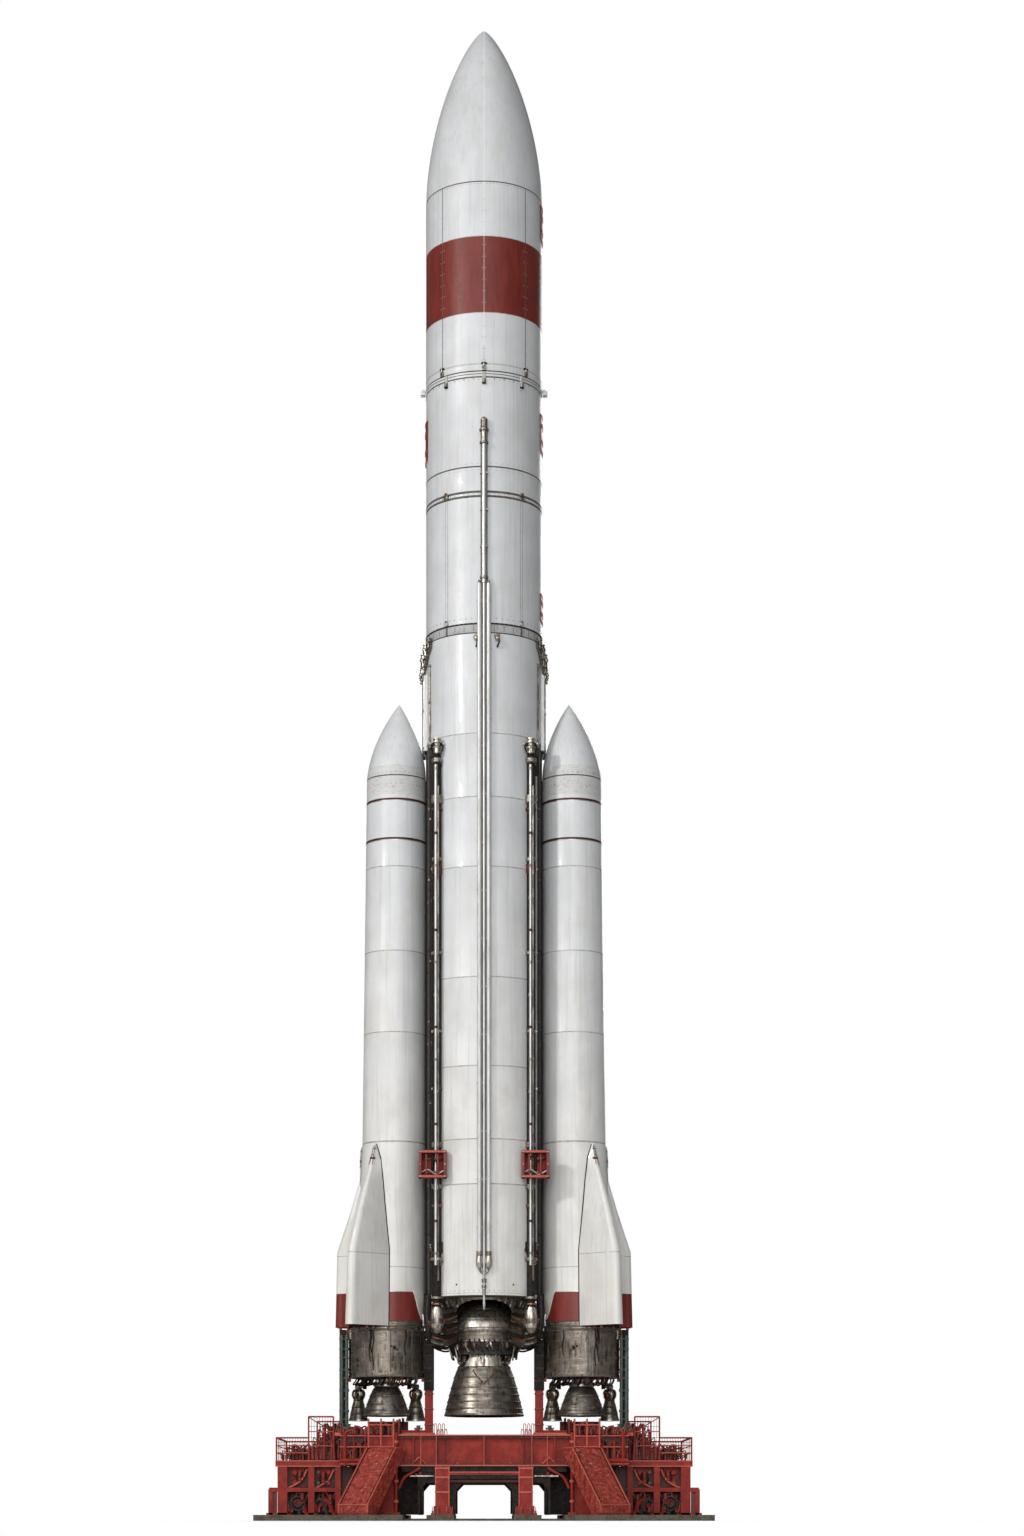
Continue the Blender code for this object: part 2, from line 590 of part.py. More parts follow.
def fin_block(make, name, angle, side):
    """A wedge-shaped fin with a round outer edge, between its sections."""
    grid = bmesh.new()
    loops = []
    for height, half, outboard_reach, other_reach in FIN_SECTIONS:
        reach = other_reach if angle else outboard_reach
        edge = half * FIN_EDGE_SHARE
        outline = [(FIN_ROOT, -half), (FIN_SKIN_R, -half)]
        for step in range(FIN_ROUND_STEPS + 1):
            turn = math.pi * (step / FIN_ROUND_STEPS - 0.5)
            outline.append((reach - edge + edge * math.cos(turn), edge * math.sin(turn)))
        outline += [(FIN_SKIN_R, half), (FIN_ROOT, half)]
        loops.append([grid.verts.new((x, y, height)) for x, y in outline])
    for low, high in zip(loops, loops[1:]):
        for index in range(len(low)):
            grid.faces.new((low[index - 1], low[index], high[index], high[index - 1]))
    grid.faces.new(loops[0])
    grid.faces.new(loops[-1])
    turn = Matrix.Rotation(math.radians(angle if side > 0 else 180.0 - angle), 4, "Z")
    bmesh.ops.transform(grid, matrix=turn, verts=grid.verts)
    return make.place(name, make.finished(name, grid))


def build_booster(make, side):
    """Nose, tank, finned tail, aft skirt, main nozzle and two verniers of one booster."""
    label = side_name(side)
    nose = [(0.0, BOOSTER_TIP_Z)]
    for step in range(1, 7):
        fraction = 1.0 - (step / 6) ** 1.6
        radius = BOOSTER_TOP_R * blunt_radius(fraction, NOSE_POWER, NOSE_ROUND)
        nose.append((radius, BOOSTER_TOP_Z + fraction * (BOOSTER_TIP_Z - BOOSTER_TOP_Z)))
    nose.append((0.0, BOOSTER_TOP_Z))
    piece = make.turned(f"booster_{label}_nose", nose, MEDIUM, "white_paint")
    sheared(piece, side * BOOSTER_TIP_X, BOOSTER_TIP_Z, side * BOOSTER_TOP_X, BOOSTER_TOP_Z)
    tank = [
        (0, BOOSTER_TOP_Z - SEAT), (BOOSTER_TOP_R, BOOSTER_TOP_Z - SEAT),
        (BOOSTER_MID_R, BOOSTER_MID_Z + SEAT), (0, BOOSTER_MID_Z + SEAT),
    ]
    piece = make.turned(f"booster_{label}_tank", tank, MEDIUM, "white_paint")
    sheared(piece, side * BOOSTER_TOP_X, BOOSTER_TOP_Z, side * BOOSTER_MID_X, BOOSTER_MID_Z)
    piece = make.turned(f"booster_{label}_tail", tail_profile(), MEDIUM, "white_paint")
    for number, angle in enumerate(FIN_ANGLES):
        make.fuse(piece, fin_block(make, f"{label}_fin_{number}", angle, side))
    lean_tail(piece, side)
    build_skirt(make, side)
    build_verniers(make, side)


def vernier_place(side, which):
    """Swivel point of a vernier and the radial direction of its axis."""
    centre = Vector((side * SKIRT_X, 0, 0))
    point = Vector((side * (SKIRT_X + which * VERNIER_DX), VERNIER_Y, 0))
    return point, (point - centre).normalized()


def build_skirt(make, side):
    """Aft skirt with a recessed floor and the trunnions of its verniers, and the main nozzle."""
    label = side_name(side)
    skirt = make.turned(
        f"booster_{label}_skirt",
        [
            (0, COLLAR_Z - SEAT), (SKIRT_R, COLLAR_Z - SEAT), (SKIRT_R, SKIRT_Z),
            (RECESS_R, SKIRT_Z), (RECESS_R, RECESS_Z), (0, RECESS_Z),
        ],
        MEDIUM, "grey_alloy",
    )
    skirt.location = (side * SKIRT_X, 0, 0)
    lift = Vector((0, 0, VERNIER_PIVOT_Z))
    for which in (-1, 1):
        point, radial = vernier_place(side, which)
        inboard = point - radial * 0.15
        arm = make.bar(
            f"{label}_arm_{which}", inboard + Vector((0, 0, VERNIER_PIVOT_Z - 0.05)),
            inboard + Vector((0, 0, RECESS_Z + 0.03)), 0.04,
        )
        pin = make.bar(
            f"{label}_trunnion_{which}", inboard + lift, point + radial * 0.045 + lift,
            TRUNNION_R, segments=COARSE,
        )
        make.fuse(skirt, arm, pin)
    top, neck = BOOSTER_NOZZLE["top_z"], 0.15
    nozzle = make.turned(
        f"booster_{label}_nozzle",
        [(0, RECESS_Z - SEAT), (0.2, RECESS_Z - SEAT), (0.2, RECESS_Z - 0.05),
         (neck, RECESS_Z - 0.05), (neck, top + 0.02), (BOOSTER_NOZZLE["top_r"], top + 0.02)]
        + bell_profile(BOOSTER_NOZZLE)
        + bell_inside(BOOSTER_NOZZLE, NOZZLE_WALL, top - 0.02),
        MEDIUM, "scorched_steel",
    )
    nozzle.location = (side * SKIRT_X, 0, 0)


def build_verniers(make, side):
    """Two small bells, each on a knuckle that swivels about the radial trunnion."""
    label = side_name(side)
    for which, place in ((-1, "inner"), (1, "outer")):
        point, radial = vernier_place(side, which)
        name = f"booster_{label}_{place}_vernier"
        top = VERNIER["top_z"]
        bell = make.turned(
            name,
            [(0, VERNIER_PIVOT_Z - 0.04), (0.035, VERNIER_PIVOT_Z - 0.04), (0.035, top)]
            + bell_profile(VERNIER)
            + bell_inside(VERNIER, 0.012, top - 0.015),
            SMALL, "scorched_steel",
        )
        bell.location = (point.x, point.y, 0)
        lift = Vector((0, 0, VERNIER_PIVOT_Z))
        knuckle = make.bar(
            name + "_knuckle", point - radial * 0.05 + lift, point + radial * 0.05 + lift, 0.055
        )
        bore = make.bar(
            name + "_bore", point - radial * 0.1 + lift, point + radial * 0.1 + lift,
            TRUNNION_BORE_R, segments=COARSE,
        )
        make.fuse(bell, knuckle)
        make.cut(bell, bore)


def beam_outline(low_z, high_z):
    """Section of a girder with tapered flanges, as (across, height) points."""
    outer, inner = FLANGE_HALF, WEB_HALF
    low, high = low_z + FLANGE_T, high_z - FLANGE_T
    low_edge, high_edge = low - FLANGE_TAPER, high + FLANGE_TAPER
    return [
        (-outer, low_z), (outer, low_z), (outer, low_edge), (inner, low), (inner, high),
        (outer, high_edge), (outer, high_z), (-outer, high_z), (-outer, high_edge),
        (-inner, high), (-inner, low), (-outer, low_edge),
    ]


# Frames that stand an outline of (x, height) up: across X, facing Y, or across Y, facing X
STAND_X = Matrix(((1, 0, 0, 0), (0, 0, -1, 0), (0, 1, 0, 0), (0, 0, 0, 1)))
STAND_Y = Matrix(((0, 0, 1, 0), (1, 0, 0, 0), (0, 1, 0, 0), (0, 0, 0, 1)))


def mirrored_outline(half):
    """A closed outline from its right half, mirrored to the left."""
    return half + [(-x, z) for x, z in reversed(half)]


def build_table_frame(make):
    """Girders, leg frames and end frames of the launch table."""
    red = "red_oxide_paint"
    legs = mirrored_outline([
        (INNER_LEG_X[0], TIE_Z[0]), (INNER_LEG_X[0], FOOT_Z), (INNER_FOOT_X[0], FOOT_Z),
        (INNER_FOOT_X[0], PAD_Z + SEAT), (INNER_FOOT_X[1], PAD_Z + SEAT),
        (INNER_FOOT_X[1], FOOT_Z), (INNER_LEG_X[1], FOOT_Z), (INNER_LEG_X[1], LEG_Z - SEAT),
        (INNER_LEG_X[0], LEG_Z - SEAT), (INNER_LEG_X[0], TIE_Z[1]),
    ])
    for end in (-1, 1):
        middle = Matrix.Translation((0, end * GIRDER_Y, 0))
        place = end_name(end)
        girder = make.outline(f"table_girder_{place}", beam_outline(LEG_Z, GIRDER_Z),
                              GIRDER_HALF_X, middle @ STAND_Y, red)
        for number, x in enumerate(STIFFENERS_X):
            plate = make.box(
                f"stiffener_{place}_{number}",
                (x - STIFFENER_HALF, end * GIRDER_Y - STIFFENER_REACH, LEG_Z + FLANGE_T / 2),
                (x + STIFFENER_HALF, end * GIRDER_Y + STIFFENER_REACH, GIRDER_Z - FLANGE_T / 2),
            )
            make.fuse(girder, plate)
        make.outline(f"table_leg_frame_{place}", legs, FLANGE_HALF, middle @ STAND_X, red)
    for side in (-1, 1):
        label = side_name(side)
        make.outline(
            f"table_cross_girder_{label}",
            beam_outline(LEG_Z + FLANGE_T + SEAT, DECK_Z - SEAT), GIRDER_Y - WEB_HALF - SEAT,
            Matrix.Translation((side * CROSS_X, 0, 0)) @ STAND_X, red,
        )
        build_end_frame(make, side)


def build_end_frame(make, side):
    """Two corner posts, joined by beams that pass outboard of the flame hole."""
    label = side_name(side)
    top = DECK_Z - SEAT
    low, high = sided(side, *END_BEAM_X)
    frame = make.box(f"table_end_frame_{label}", (low, -END_BEAM_Y, END_BEAM_Z),
                     (high, END_BEAM_Y, top), "red_oxide_paint")
    for end in (-1, 1):
        near, far = sorted((end * CORNER_Y[0], end * (END_BEAM_Y - 0.01)))
        low, high = sided(side, CORNER_X[1] - 0.02, END_BEAM_X[1] - 0.01)
        arm = make.box(f"end_arm_{label}_{end_name(end)}", (low, near, END_BEAM_Z + 0.01),
                       (high, far, top - 0.01))
        near, far = sorted((end * CORNER_Y[0], end * CORNER_Y[1]))
        low, high = sided(side, *CORNER_X)
        post = make.box(f"corner_post_{label}_{end_name(end)}", (low, near, PAD_Z + SEAT),
                        (high, far, top))
        make.fuse(frame, arm, post)


def build_hold_down(make, side):
    """Deck with a flame hole and the two columns that carry the booster's skirt."""
    label = side_name(side)
    edge_y = GIRDER_Y - FLANGE_HALF - SEAT
    low, high = sided(side, *DECK_X)
    deck = make.box(f"hold_down_deck_{label}", (low, -edge_y, DECK_Z), (high, edge_y, DECK_TOP_Z),
                    "red_oxide_paint")
    hole = make.bar(
        f"flame_hole_{label}", (side * SKIRT_X, 0, DECK_Z - 0.1),
        (side * SKIRT_X, 0, DECK_TOP_Z + 0.1), FLAME_HOLE_R, segments=COARSE,
    )
    make.cut(deck, hole)
    top = SKIRT_Z - SEAT
    inner_rim, outer_rim = SKIRT_X - SKIRT_R, SKIRT_X + SKIRT_R
    # name, x range, z range
    for name, reach, heights in (
        ("inner_column", INNER_COLUMN_X, (DECK_Z + 0.01, CLAMP_Z[0] + 0.01)),
        ("outer_column", OUTER_COLUMN_X, (DECK_Z + 0.01, OUTER_COLUMN_Z)),
        ("clamp", CLAMP_X, CLAMP_Z),
        ("inner_head", (CLAMP_X[0] + 0.02, inner_rim + 0.05), (HEAD_Z, top)),
        ("outer_head", (outer_rim - 0.05, OUTER_COLUMN_X[1] - 0.01), (HEAD_Z, top)),
    ):
        low, high = sided(side, *reach)
        piece = make.box(f"{label}_{name}", (low, COLUMN_Y[0], heights[0]),
                         (high, COLUMN_Y[1], heights[1]))
        make.fuse(deck, piece)
    # walls of the flame duct below: x range, y range
    far = DUCT_Y - DUCT_WALL
    for number, (reach, across) in enumerate((
        ((DUCT_X[0], DUCT_X[0] + DUCT_WALL), (-DUCT_Y, DUCT_Y)),
        ((DUCT_X[0] + 0.01, DUCT_X[1]), (-DUCT_Y + 0.005, -far)),
        ((DUCT_X[0] + 0.01, DUCT_X[1]), (far, DUCT_Y - 0.005)),
    )):
        low, high = sided(side, *reach)
        rise = 0.005 * min(number, 1)
        wall = make.box(f"{label}_duct_wall_{number}", (low, across[0], PAD_Z + SEAT + rise),
                        (high, across[1], DECK_Z + 0.02 - rise))
        make.fuse(deck, wall)


def build_struts(make):
    """Sloped box struts, drawn as a side outline and turned outward at each corner."""
    fall = STRUT_TOP_Z - STRUT_FOOT_Z
    back = 0.35
    slope = fall / STRUT_RUN
    points = [
        (-back, STRUT_TOP_Z), (0.0, STRUT_TOP_Z), (STRUT_RUN, STRUT_FOOT_Z),
        (STRUT_RUN, PAD_Z + SEAT), (STRUT_RUN - 0.30, PAD_Z + SEAT),
        (-back, STRUT_TOP_Z + back * slope - STRUT_DEPTH),
    ]
    for side in (-1, 1):
        for end in (-1, 1):
            name = f"sloped_strut_{side_name(side)}_{end_name(end)}"
            heading = Vector((side * math.sin(STRUT_ANGLE), end * math.cos(STRUT_ANGLE), 0))
            normal = heading.cross(Vector((0, 0, 1)))
            frame = Matrix((heading, (0, 0, 1), normal)).transposed().to_4x4()
            middle = Matrix.Translation((side * STRUT_X, end * STRUT_Y, 0))
            strut = make.outline(name, points, STRUT_WIDTH / 2, middle @ frame, "red_oxide_paint")
            face_y = CORNER_Y[1] + SEAT
            near, far = sorted((0.0, end * face_y))
            make.cut(strut, make.box(name + "_end_cut", (-5, near, 0.0), (5, far, 3.0)))


def build_platform(make, side):
    """Side platform on posts, with its low frame and railings, as one welded piece."""
    label = side_name(side)

    def block(name, reach, across, heights):
        low, high = sided(side, *reach)
        return make.box(f"{label}_{name}", (low, across[0], heights[0]), (high, across[1], heights[1]))

    low, high = sided(side, *PLATFORM_X)
    deck = make.box(f"side_platform_{label}", (low, -PLATFORM_Y, PLATFORM_Z[0]),
                    (high, PLATFORM_Y, PLATFORM_Z[1]), "red_oxide_paint")
    sunk = 0.01
    pieces = []
    for end in (-1, 1):
        place = end_name(end)
        edge = sorted((end * PLATFORM_Y, end * (PLATFORM_Y - POST_DEPTH)))
        for number, reach in enumerate(POSTS_X):
            pieces.append(block(f"post_{place}_{number}", reach, edge,
                                (PAD_Z + SEAT, PLATFORM_Z[0] + sunk)))
        rail = sorted((end * PLATFORM_Y, end * (PLATFORM_Y - RAIL_T)))
        pieces.append(block(f"low_beam_{place}", (PLATFORM_X[0] + 0.02, LOW_FRAME_X), edge, LOW_FRAME_Z))
        pieces.append(block(f"low_post_{place}", (LOW_FRAME_X - 0.07, LOW_FRAME_X), edge,
                            (PAD_Z + SEAT, LOW_FRAME_Z[0] + sunk)))
        # railing: x range and height
        for part, reach, height in (
            ("low", (RAIL_STEP_X, PLATFORM_X[1] - 0.02), RAIL_LOW_Z),
            ("high", (RAIL_INNER_X, RAIL_STEP_X), RAIL_HIGH_Z),
        ):
            pieces.append(block(f"rail_{part}_{place}", reach, rail, (height - RAIL_T, height)))
            for x in reach:
                post = (x - RAIL_T / 2, x + RAIL_T / 2)
                pieces.append(block(f"rail_post_{part}_{place}_{x:.2f}", post, rail,
                                    (PLATFORM_Z[1] - sunk, height - sunk)))
    outer = (PLATFORM_X[1] - 0.035, PLATFORM_X[1] - 0.005)
    pieces.append(block("rail_outer", outer, (-PLATFORM_Y + sunk, PLATFORM_Y - sunk),
                        (RAIL_LOW_Z - RAIL_T, RAIL_LOW_Z)))
    make.fuse(deck, *pieces)


def build_cabinet(make, side):
    """Service cabinet under a side platform, on a plinth and with a lid that stands proud."""
    low, high = sided(side, *CABINET_X)
    step = CABINET_STEP
    top = CABINET_TOP_Z
    cabinet = make.box(f"service_cabinet_{side_name(side)}", (low, -CABINET_Y, PAD_Z + 0.12),
                       (high, CABINET_Y, top - step), "grey_alloy")
    plinth = make.box("cabinet_plinth", (low + step, step - CABINET_Y, PAD_Z + SEAT),
                      (high - step, CABINET_Y - step, PAD_Z + 0.13))
    lid = make.box("cabinet_lid", (low - step, -CABINET_Y - step, top - step - 0.01),
                   (high + step, CABINET_Y + step, top))
    make.fuse(cabinet, plinth, lid)


def build_foundation(make):
    """Concrete pads under each side and under the inner legs, tied by low bars."""
    pads = []
    for side in (-1, 1):
        label = side_name(side)
        low, high = sided(side, *PAD_X)
        pads.append(((low, -PAD_Y, 0), (high, PAD_Y, PAD_Z), f"side_pad_{label}"))
        low, high = sided(side, *INNER_PAD_X)
        pads.append(((low, -INNER_PAD_Y, 0), (high, INNER_PAD_Y, PAD_Z), f"inner_pad_{label}"))
    base = make.box("foundation_pads", pads[0][0], pads[0][1], "concrete")
    tools = [make.box(name, low, high) for low, high, name in pads[1:]]
    for end in (-1, 1):
        y = end * GIRDER_Y
        bar = make.box(f"tie_bar_{end_name(end)}", (-PAD_X[0] - 0.1, y - 0.12, 0),
                       (PAD_X[0] + 0.1, y + 0.12, TIE_BAR_Z))
        tools.append(bar)
    make.fuse(base, *tools)


def main():
    clear_scene()
    make = Builder()
    build_fairing(make)
    build_core(make)
    build_raceway(make)
    build_feed_lines(make)
    build_engine(make)
    for side in (-1, 1):
        build_booster(make, side)
    build_foundation(make)
    build_table_frame(make)
    build_struts(make)
    for side in (-1, 1):
        build_hold_down(make, side)
        build_platform(make, side)
        build_cabinet(make, side)


main()
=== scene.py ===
"""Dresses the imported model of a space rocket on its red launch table.

Metres, +Z up, front towards -Y. An angle round the rocket is in degrees from its front, positive
towards the right (+X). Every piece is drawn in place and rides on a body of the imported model.
"""

import contextlib
import functools
import logging
import math
from dataclasses import dataclass
from enum import Enum
from typing import Any, Iterable, Iterator, Sequence

import bmesh
import bpy
from bmesh.types import BMesh, BMEdge, BMVert
from mathutils import Matrix, Vector


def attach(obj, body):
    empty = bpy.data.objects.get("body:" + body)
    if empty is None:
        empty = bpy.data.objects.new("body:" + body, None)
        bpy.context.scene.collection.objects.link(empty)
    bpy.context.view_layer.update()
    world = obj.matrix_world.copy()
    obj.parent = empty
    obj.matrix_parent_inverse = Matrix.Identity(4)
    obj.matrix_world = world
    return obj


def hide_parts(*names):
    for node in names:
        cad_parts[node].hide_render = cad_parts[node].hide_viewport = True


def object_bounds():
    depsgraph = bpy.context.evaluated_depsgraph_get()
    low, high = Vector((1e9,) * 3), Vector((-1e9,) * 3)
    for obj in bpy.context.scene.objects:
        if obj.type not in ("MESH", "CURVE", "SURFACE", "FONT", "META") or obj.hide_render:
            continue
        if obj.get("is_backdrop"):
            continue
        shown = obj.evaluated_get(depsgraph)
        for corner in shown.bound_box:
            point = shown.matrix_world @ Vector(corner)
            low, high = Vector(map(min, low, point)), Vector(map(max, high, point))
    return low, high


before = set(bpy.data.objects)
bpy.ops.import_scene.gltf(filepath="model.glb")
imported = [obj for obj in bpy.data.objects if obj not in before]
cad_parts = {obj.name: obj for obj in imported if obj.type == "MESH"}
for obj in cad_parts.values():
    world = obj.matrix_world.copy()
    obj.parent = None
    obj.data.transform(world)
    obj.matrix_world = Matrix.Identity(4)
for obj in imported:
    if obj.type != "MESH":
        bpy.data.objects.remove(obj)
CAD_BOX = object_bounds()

LOG = logging.getLogger("space_rocket")
Tree, Socket = bpy.types.NodeTree, bpy.types.NodeSocket
Pair = tuple[float, float]
Triple = tuple[float, float, float]
Four = tuple[float, float, float, float]
Point = Sequence[float]
Path = Sequence[Point]
Profile = list[tuple]
NO_TURN = Matrix.Identity(4)
# Steps, as shares of a stretch, that scatter pipes along it and up it with no pattern
SCATTER_X, SCATTER_Z = 0.618, 0.387


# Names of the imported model

class Slot(Enum):
    """Material slots of the record."""

    WHITE = "white_paint"
    ALLOY = "grey_alloy"
    SCORCHED = "scorched_steel"
    PIPE = "pipe_steel"
    RED = "red_oxide_paint"
    CONCRETE = "concrete"


class Side(Enum):
    """Left and right of the rocket, as a sign along X."""

    LEFT = -1
    RIGHT = 1

    @property
    def label(self) -> str:
        """The side's name in node and piece names."""
        return self.name.lower()


class End(Enum):
    """Front and rear of the rocket, as a sign along Y."""

    FRONT = -1
    REAR = 1

    @property
    def label(self) -> str:
        """The end's name in node and piece names."""
        return self.name.lower()


# Finishes

def linear(code: str) -> Four:
    """Turns an sRGB hex colour to the linear colour that the shader reads.

    Args:
        code: Six hex digits.

    Returns:
        Red, green, blue and an alpha of one.
    """
    parts = [int(code[i:i + 2], 16) / 255 for i in (0, 2, 4)]
    red, green, blue = (part / 12.92 if part <= 0.04045 else ((part + 0.055) / 1.055) ** 2.4 for
        part in parts)
    return red, green, blue, 1.0


def add_node(
    tree: Tree, kind: str, inputs: dict[Any, Any] | None = None, **settings: Any
) -> bpy.types.Node:
    """Adds one shader node with its settings, values and links.

    Args:
        tree: Node tree that takes it.
        kind: Its type, without the ShaderNode in front.
        inputs: A value or a linked output for each input, by name or number.
        settings: Its own properties.

    Returns:
        The node.
    """
    node = tree.nodes.new(f"ShaderNode{kind}")
    for name, value in settings.items():
        setattr(node, name, value)
    for key, value in (inputs or {}).items():
        if isinstance(value, Socket):
            tree.links.new(value, node.inputs[key])
        else:
            node.inputs[key].default_value = value
    return node


@dataclass(frozen=True)
class Layer:
    """Something that lies over a finish in patches, such as grime, rust or run-off streaks.

    Attributes:
        colour: Its hex colour.
        size_mm: Width of one patch.
        stretch: How many times longer a patch is than wide, along X, Y and Z.
        cover: Share of the surface that it reaches, from 0 to 1.
        strength: How much of its colour shows at its densest.
    """

    colour: str
    size_mm: float
    stretch: Triple = (1.0, 1.0, 1.0)
    cover: float = 0.4
    strength: float = 0.5


@dataclass(frozen=True)
class Finish:
    """What a surface is made of and how it was worked.

    Attributes:
        name: Common name of the material and its working.
        colour: Main hex colour.
        metallic: 1 for bare metal, 0 for anything painted or mineral.
        roughness: Lowest and highest roughness over the surface.
        grain_mm: Width of one grain of the bump.
        grain_stretch: How many times longer a grain is than wide, along X, Y and Z.
        grain_depth_mm: Depth of the bump.
        layers: What lies over it, from below upwards.
        coat: Weight of a clear coat.
        fade: A second hex colour with the heights at which it is full and gone.
        shine: Specular level, 0.5 for a clean surface and less for a chalked one.
    """

    name: str
    colour: str
    metallic: float = 0.0
    roughness: Pair = (0.35, 0.55)
    grain_mm: float = 12.0
    grain_stretch: Triple = (1.0, 1.0, 1.0)
    grain_depth_mm: float = 0.3
    layers: tuple[Layer, ...] = ()
    coat: float = 0.0
    fade: tuple[str, float, float] | None = None
    shine: float = 0.5

    @functools.cache
    def material(self) -> bpy.types.Material:
        """Builds the material once.

        Returns:
            The material, shared by all the pieces of this finish.
        """
        made = bpy.data.materials.new(self.name)
        made.use_nodes = True
        tree = made.node_tree
        shader = tree.nodes["Principled BSDF"]
        place = add_node(tree, "TexCoord").outputs["Object"]
        colour = self._base_colour(tree, place)
        for number, layer in enumerate(self.layers):
            mask = self._patches(tree, place, layer, number)
            mixed = add_node(tree, "Mix", {0: mask, 6: colour, 7: linear(layer.colour)},
                data_type="RGBA")
            colour = mixed.outputs[2]
        tree.links.new(colour, shader.inputs["Base Color"])
        grain = speckle(tree, place, self.grain_mm, self.grain_stretch, 4.0, 0.6)
        spread = add_node(tree, "MapRange", {"Value": grain, 1: 0.3, 2: 0.7, 3: self.roughness[0],
            4: self.roughness[1]})
        tree.links.new(spread.outputs[0], shader.inputs["Roughness"])
        bump = add_node(tree, "Bump", {"Height": grain, "Distance": self.grain_depth_mm / 1000,
            "Strength": 1.0})
        tree.links.new(bump.outputs[0], shader.inputs["Normal"])
        shader.inputs["Metallic"].default_value = self.metallic
        shader.inputs["Coat Weight"].default_value = self.coat
        shader.inputs["Specular IOR Level"].default_value = self.shine
        return made

    def _base_colour(self, tree: Tree, place: Socket) -> Socket:
        """The main colour in slow clouds a little lighter and darker, faded by height if asked.

        Args:
            tree: Node tree that takes the nodes.
            place: Object coordinates.

        Returns:
            The colour output.
        """
        clouds = add_node(tree, "TexNoise", {"Vector": place, "Scale": 1.7, "Detail": 3.0})
        value = add_node(tree, "MapRange", {"Value": clouds.outputs[0], 1: 0.3, 2: 0.7, 3: 0.93,
            4: 1.05})
        colour: Any = linear(self.colour)
        if self.fade:
            height = add_node(tree, "SeparateXYZ", {0: place}).outputs[2]
            share = add_node(tree, "MapRange", {"Value": height, 1: self.fade[1], 2: self.fade[2],
                3: 1.0, 4: 0.0})
            mixed = add_node(tree, "Mix", {0: share.outputs[0], 6: colour, 7: linear(self.fade[0])},
                data_type="RGBA")
            colour = mixed.outputs[2]
        toned = add_node(tree, "HueSaturation", {"Color": colour, "Value": value.outputs[0]})
        return toned.outputs[0]

    def _patches(self, tree: Tree, place: Socket, layer: Layer, number: int) -> Socket:
        """Where a layer lies.

        Args:
            tree: Node tree that takes the nodes.
            place: Object coordinates.
            layer: The layer.
            number: Its place in the order, which shifts its pattern.

        Returns:
            The share of the layer's colour at each point.
        """
        shift = (number * 7.3 + 1.1, number * 3.1, 0.0)
        noise = speckle(tree, place, layer.size_mm, layer.stretch, 5.0, 0.62, shift)
        edge = 0.72 - 0.44 * layer.cover
        share = add_node(tree, "MapRange", {"Value": noise, 1: edge - 0.07, 2: edge + 0.07, 3: 0.0,
            4: layer.strength})
        return share.outputs[0]


def speckle(
    tree: Tree, place: Socket, size_mm: float, stretch: Point,
    detail: float, rough: float, shift: Point = (0.0, 0.0, 0.0),
) -> Socket:
    """A noise pattern of one size, drawn out along the axes.

    Args:
        tree: Node tree that takes the nodes.
        place: Object coordinates.
        size_mm: Width of one patch.
        stretch: How many times longer a patch is than wide, along X, Y and Z.
        detail: Octaves of the noise.
        rough: How strong its fine octaves are.
        shift: How far the pattern is moved.

    Returns:
        The value output.
    """
    scale = [1.0 / length for length in stretch]
    moved = add_node(tree, "Mapping", {"Vector": place, "Location": shift, "Scale": scale})
    noise = add_node(tree, "TexNoise", {"Vector": moved.outputs[0], "Scale": 1000.0 / size_mm,
        "Detail": detail, "Roughness": rough})
    return noise.outputs[0]


# Sprayed enamel on aluminium: even satin sheen, faint rain streaks, a few brown specks
WHITE = Finish("satin_white_enamel", "D6D9DC", roughness=(0.3, 0.46), grain_mm=60,
    grain_depth_mm=0.6, fade=("E7E5E0", 4.0, 14.0), coat=0.15, layers=(Layer("B9BDBF", 55,
    (1, 1, 40), 0.32, 0.35), Layer("C7C3B8", 420, (1, 1, 2), 0.35, 0.3),
    Layer("8E7F6C", 16, (1, 1, 2), 0.05, 0.55)))
# The same enamel rubbed by transport straps: greyer, with fine scratches round the nose
SCUFFED = Finish("scuffed_white_enamel", "CFD0CF", roughness=(0.42, 0.62), grain_mm=20,
    grain_depth_mm=0.5, layers=(Layer("9B958A", 35, (3, 3, 1), 0.3, 0.45),
    Layer("7C6A58", 14, (2, 2, 1), 0.12, 0.6)))
# Sealant and dirt in a panel joint: a dark, dull line
SEAM = Finish("grimy_joint_sealant", "67635C", roughness=(0.6, 0.8), layers=(Layer("3B342D", 40,
    cover=0.5, strength=0.7),))
# A dressed weld under paint: a line that is barely darker than the skin
WELD = Finish("painted_weld_line", "B4B3AF", roughness=(0.4, 0.6), layers=(Layer("8E877C", 90,
    cover=0.45, strength=0.7),))
# Oxide red enamel, glossier than the steelwork's, slightly chalked in patches
BAND_RED = Finish("oxide_red_gloss_enamel", "742A23", roughness=(0.32, 0.5), grain_mm=50,
    grain_depth_mm=0.5, coat=0.08, shine=0.35, layers=(Layer("85352C", 160, (1, 1, 5), 0.5, 0.5),
    Layer("551E19", 60, (1, 1, 12), 0.3, 0.4), Layer("A0564A", 12, (1, 1, 2), 0.07, 0.5)))
# Brown enamel of a stripe round a booster; also painted shade lines under the girders' flanges
BROWN_AND_SHADE = Finish("brown_enamel_stripe", "4A241D", roughness=(0.35, 0.5), shine=0.3,
    layers=(Layer("6D453A", 40, (2, 2, 1), 0.3, 0.5),))
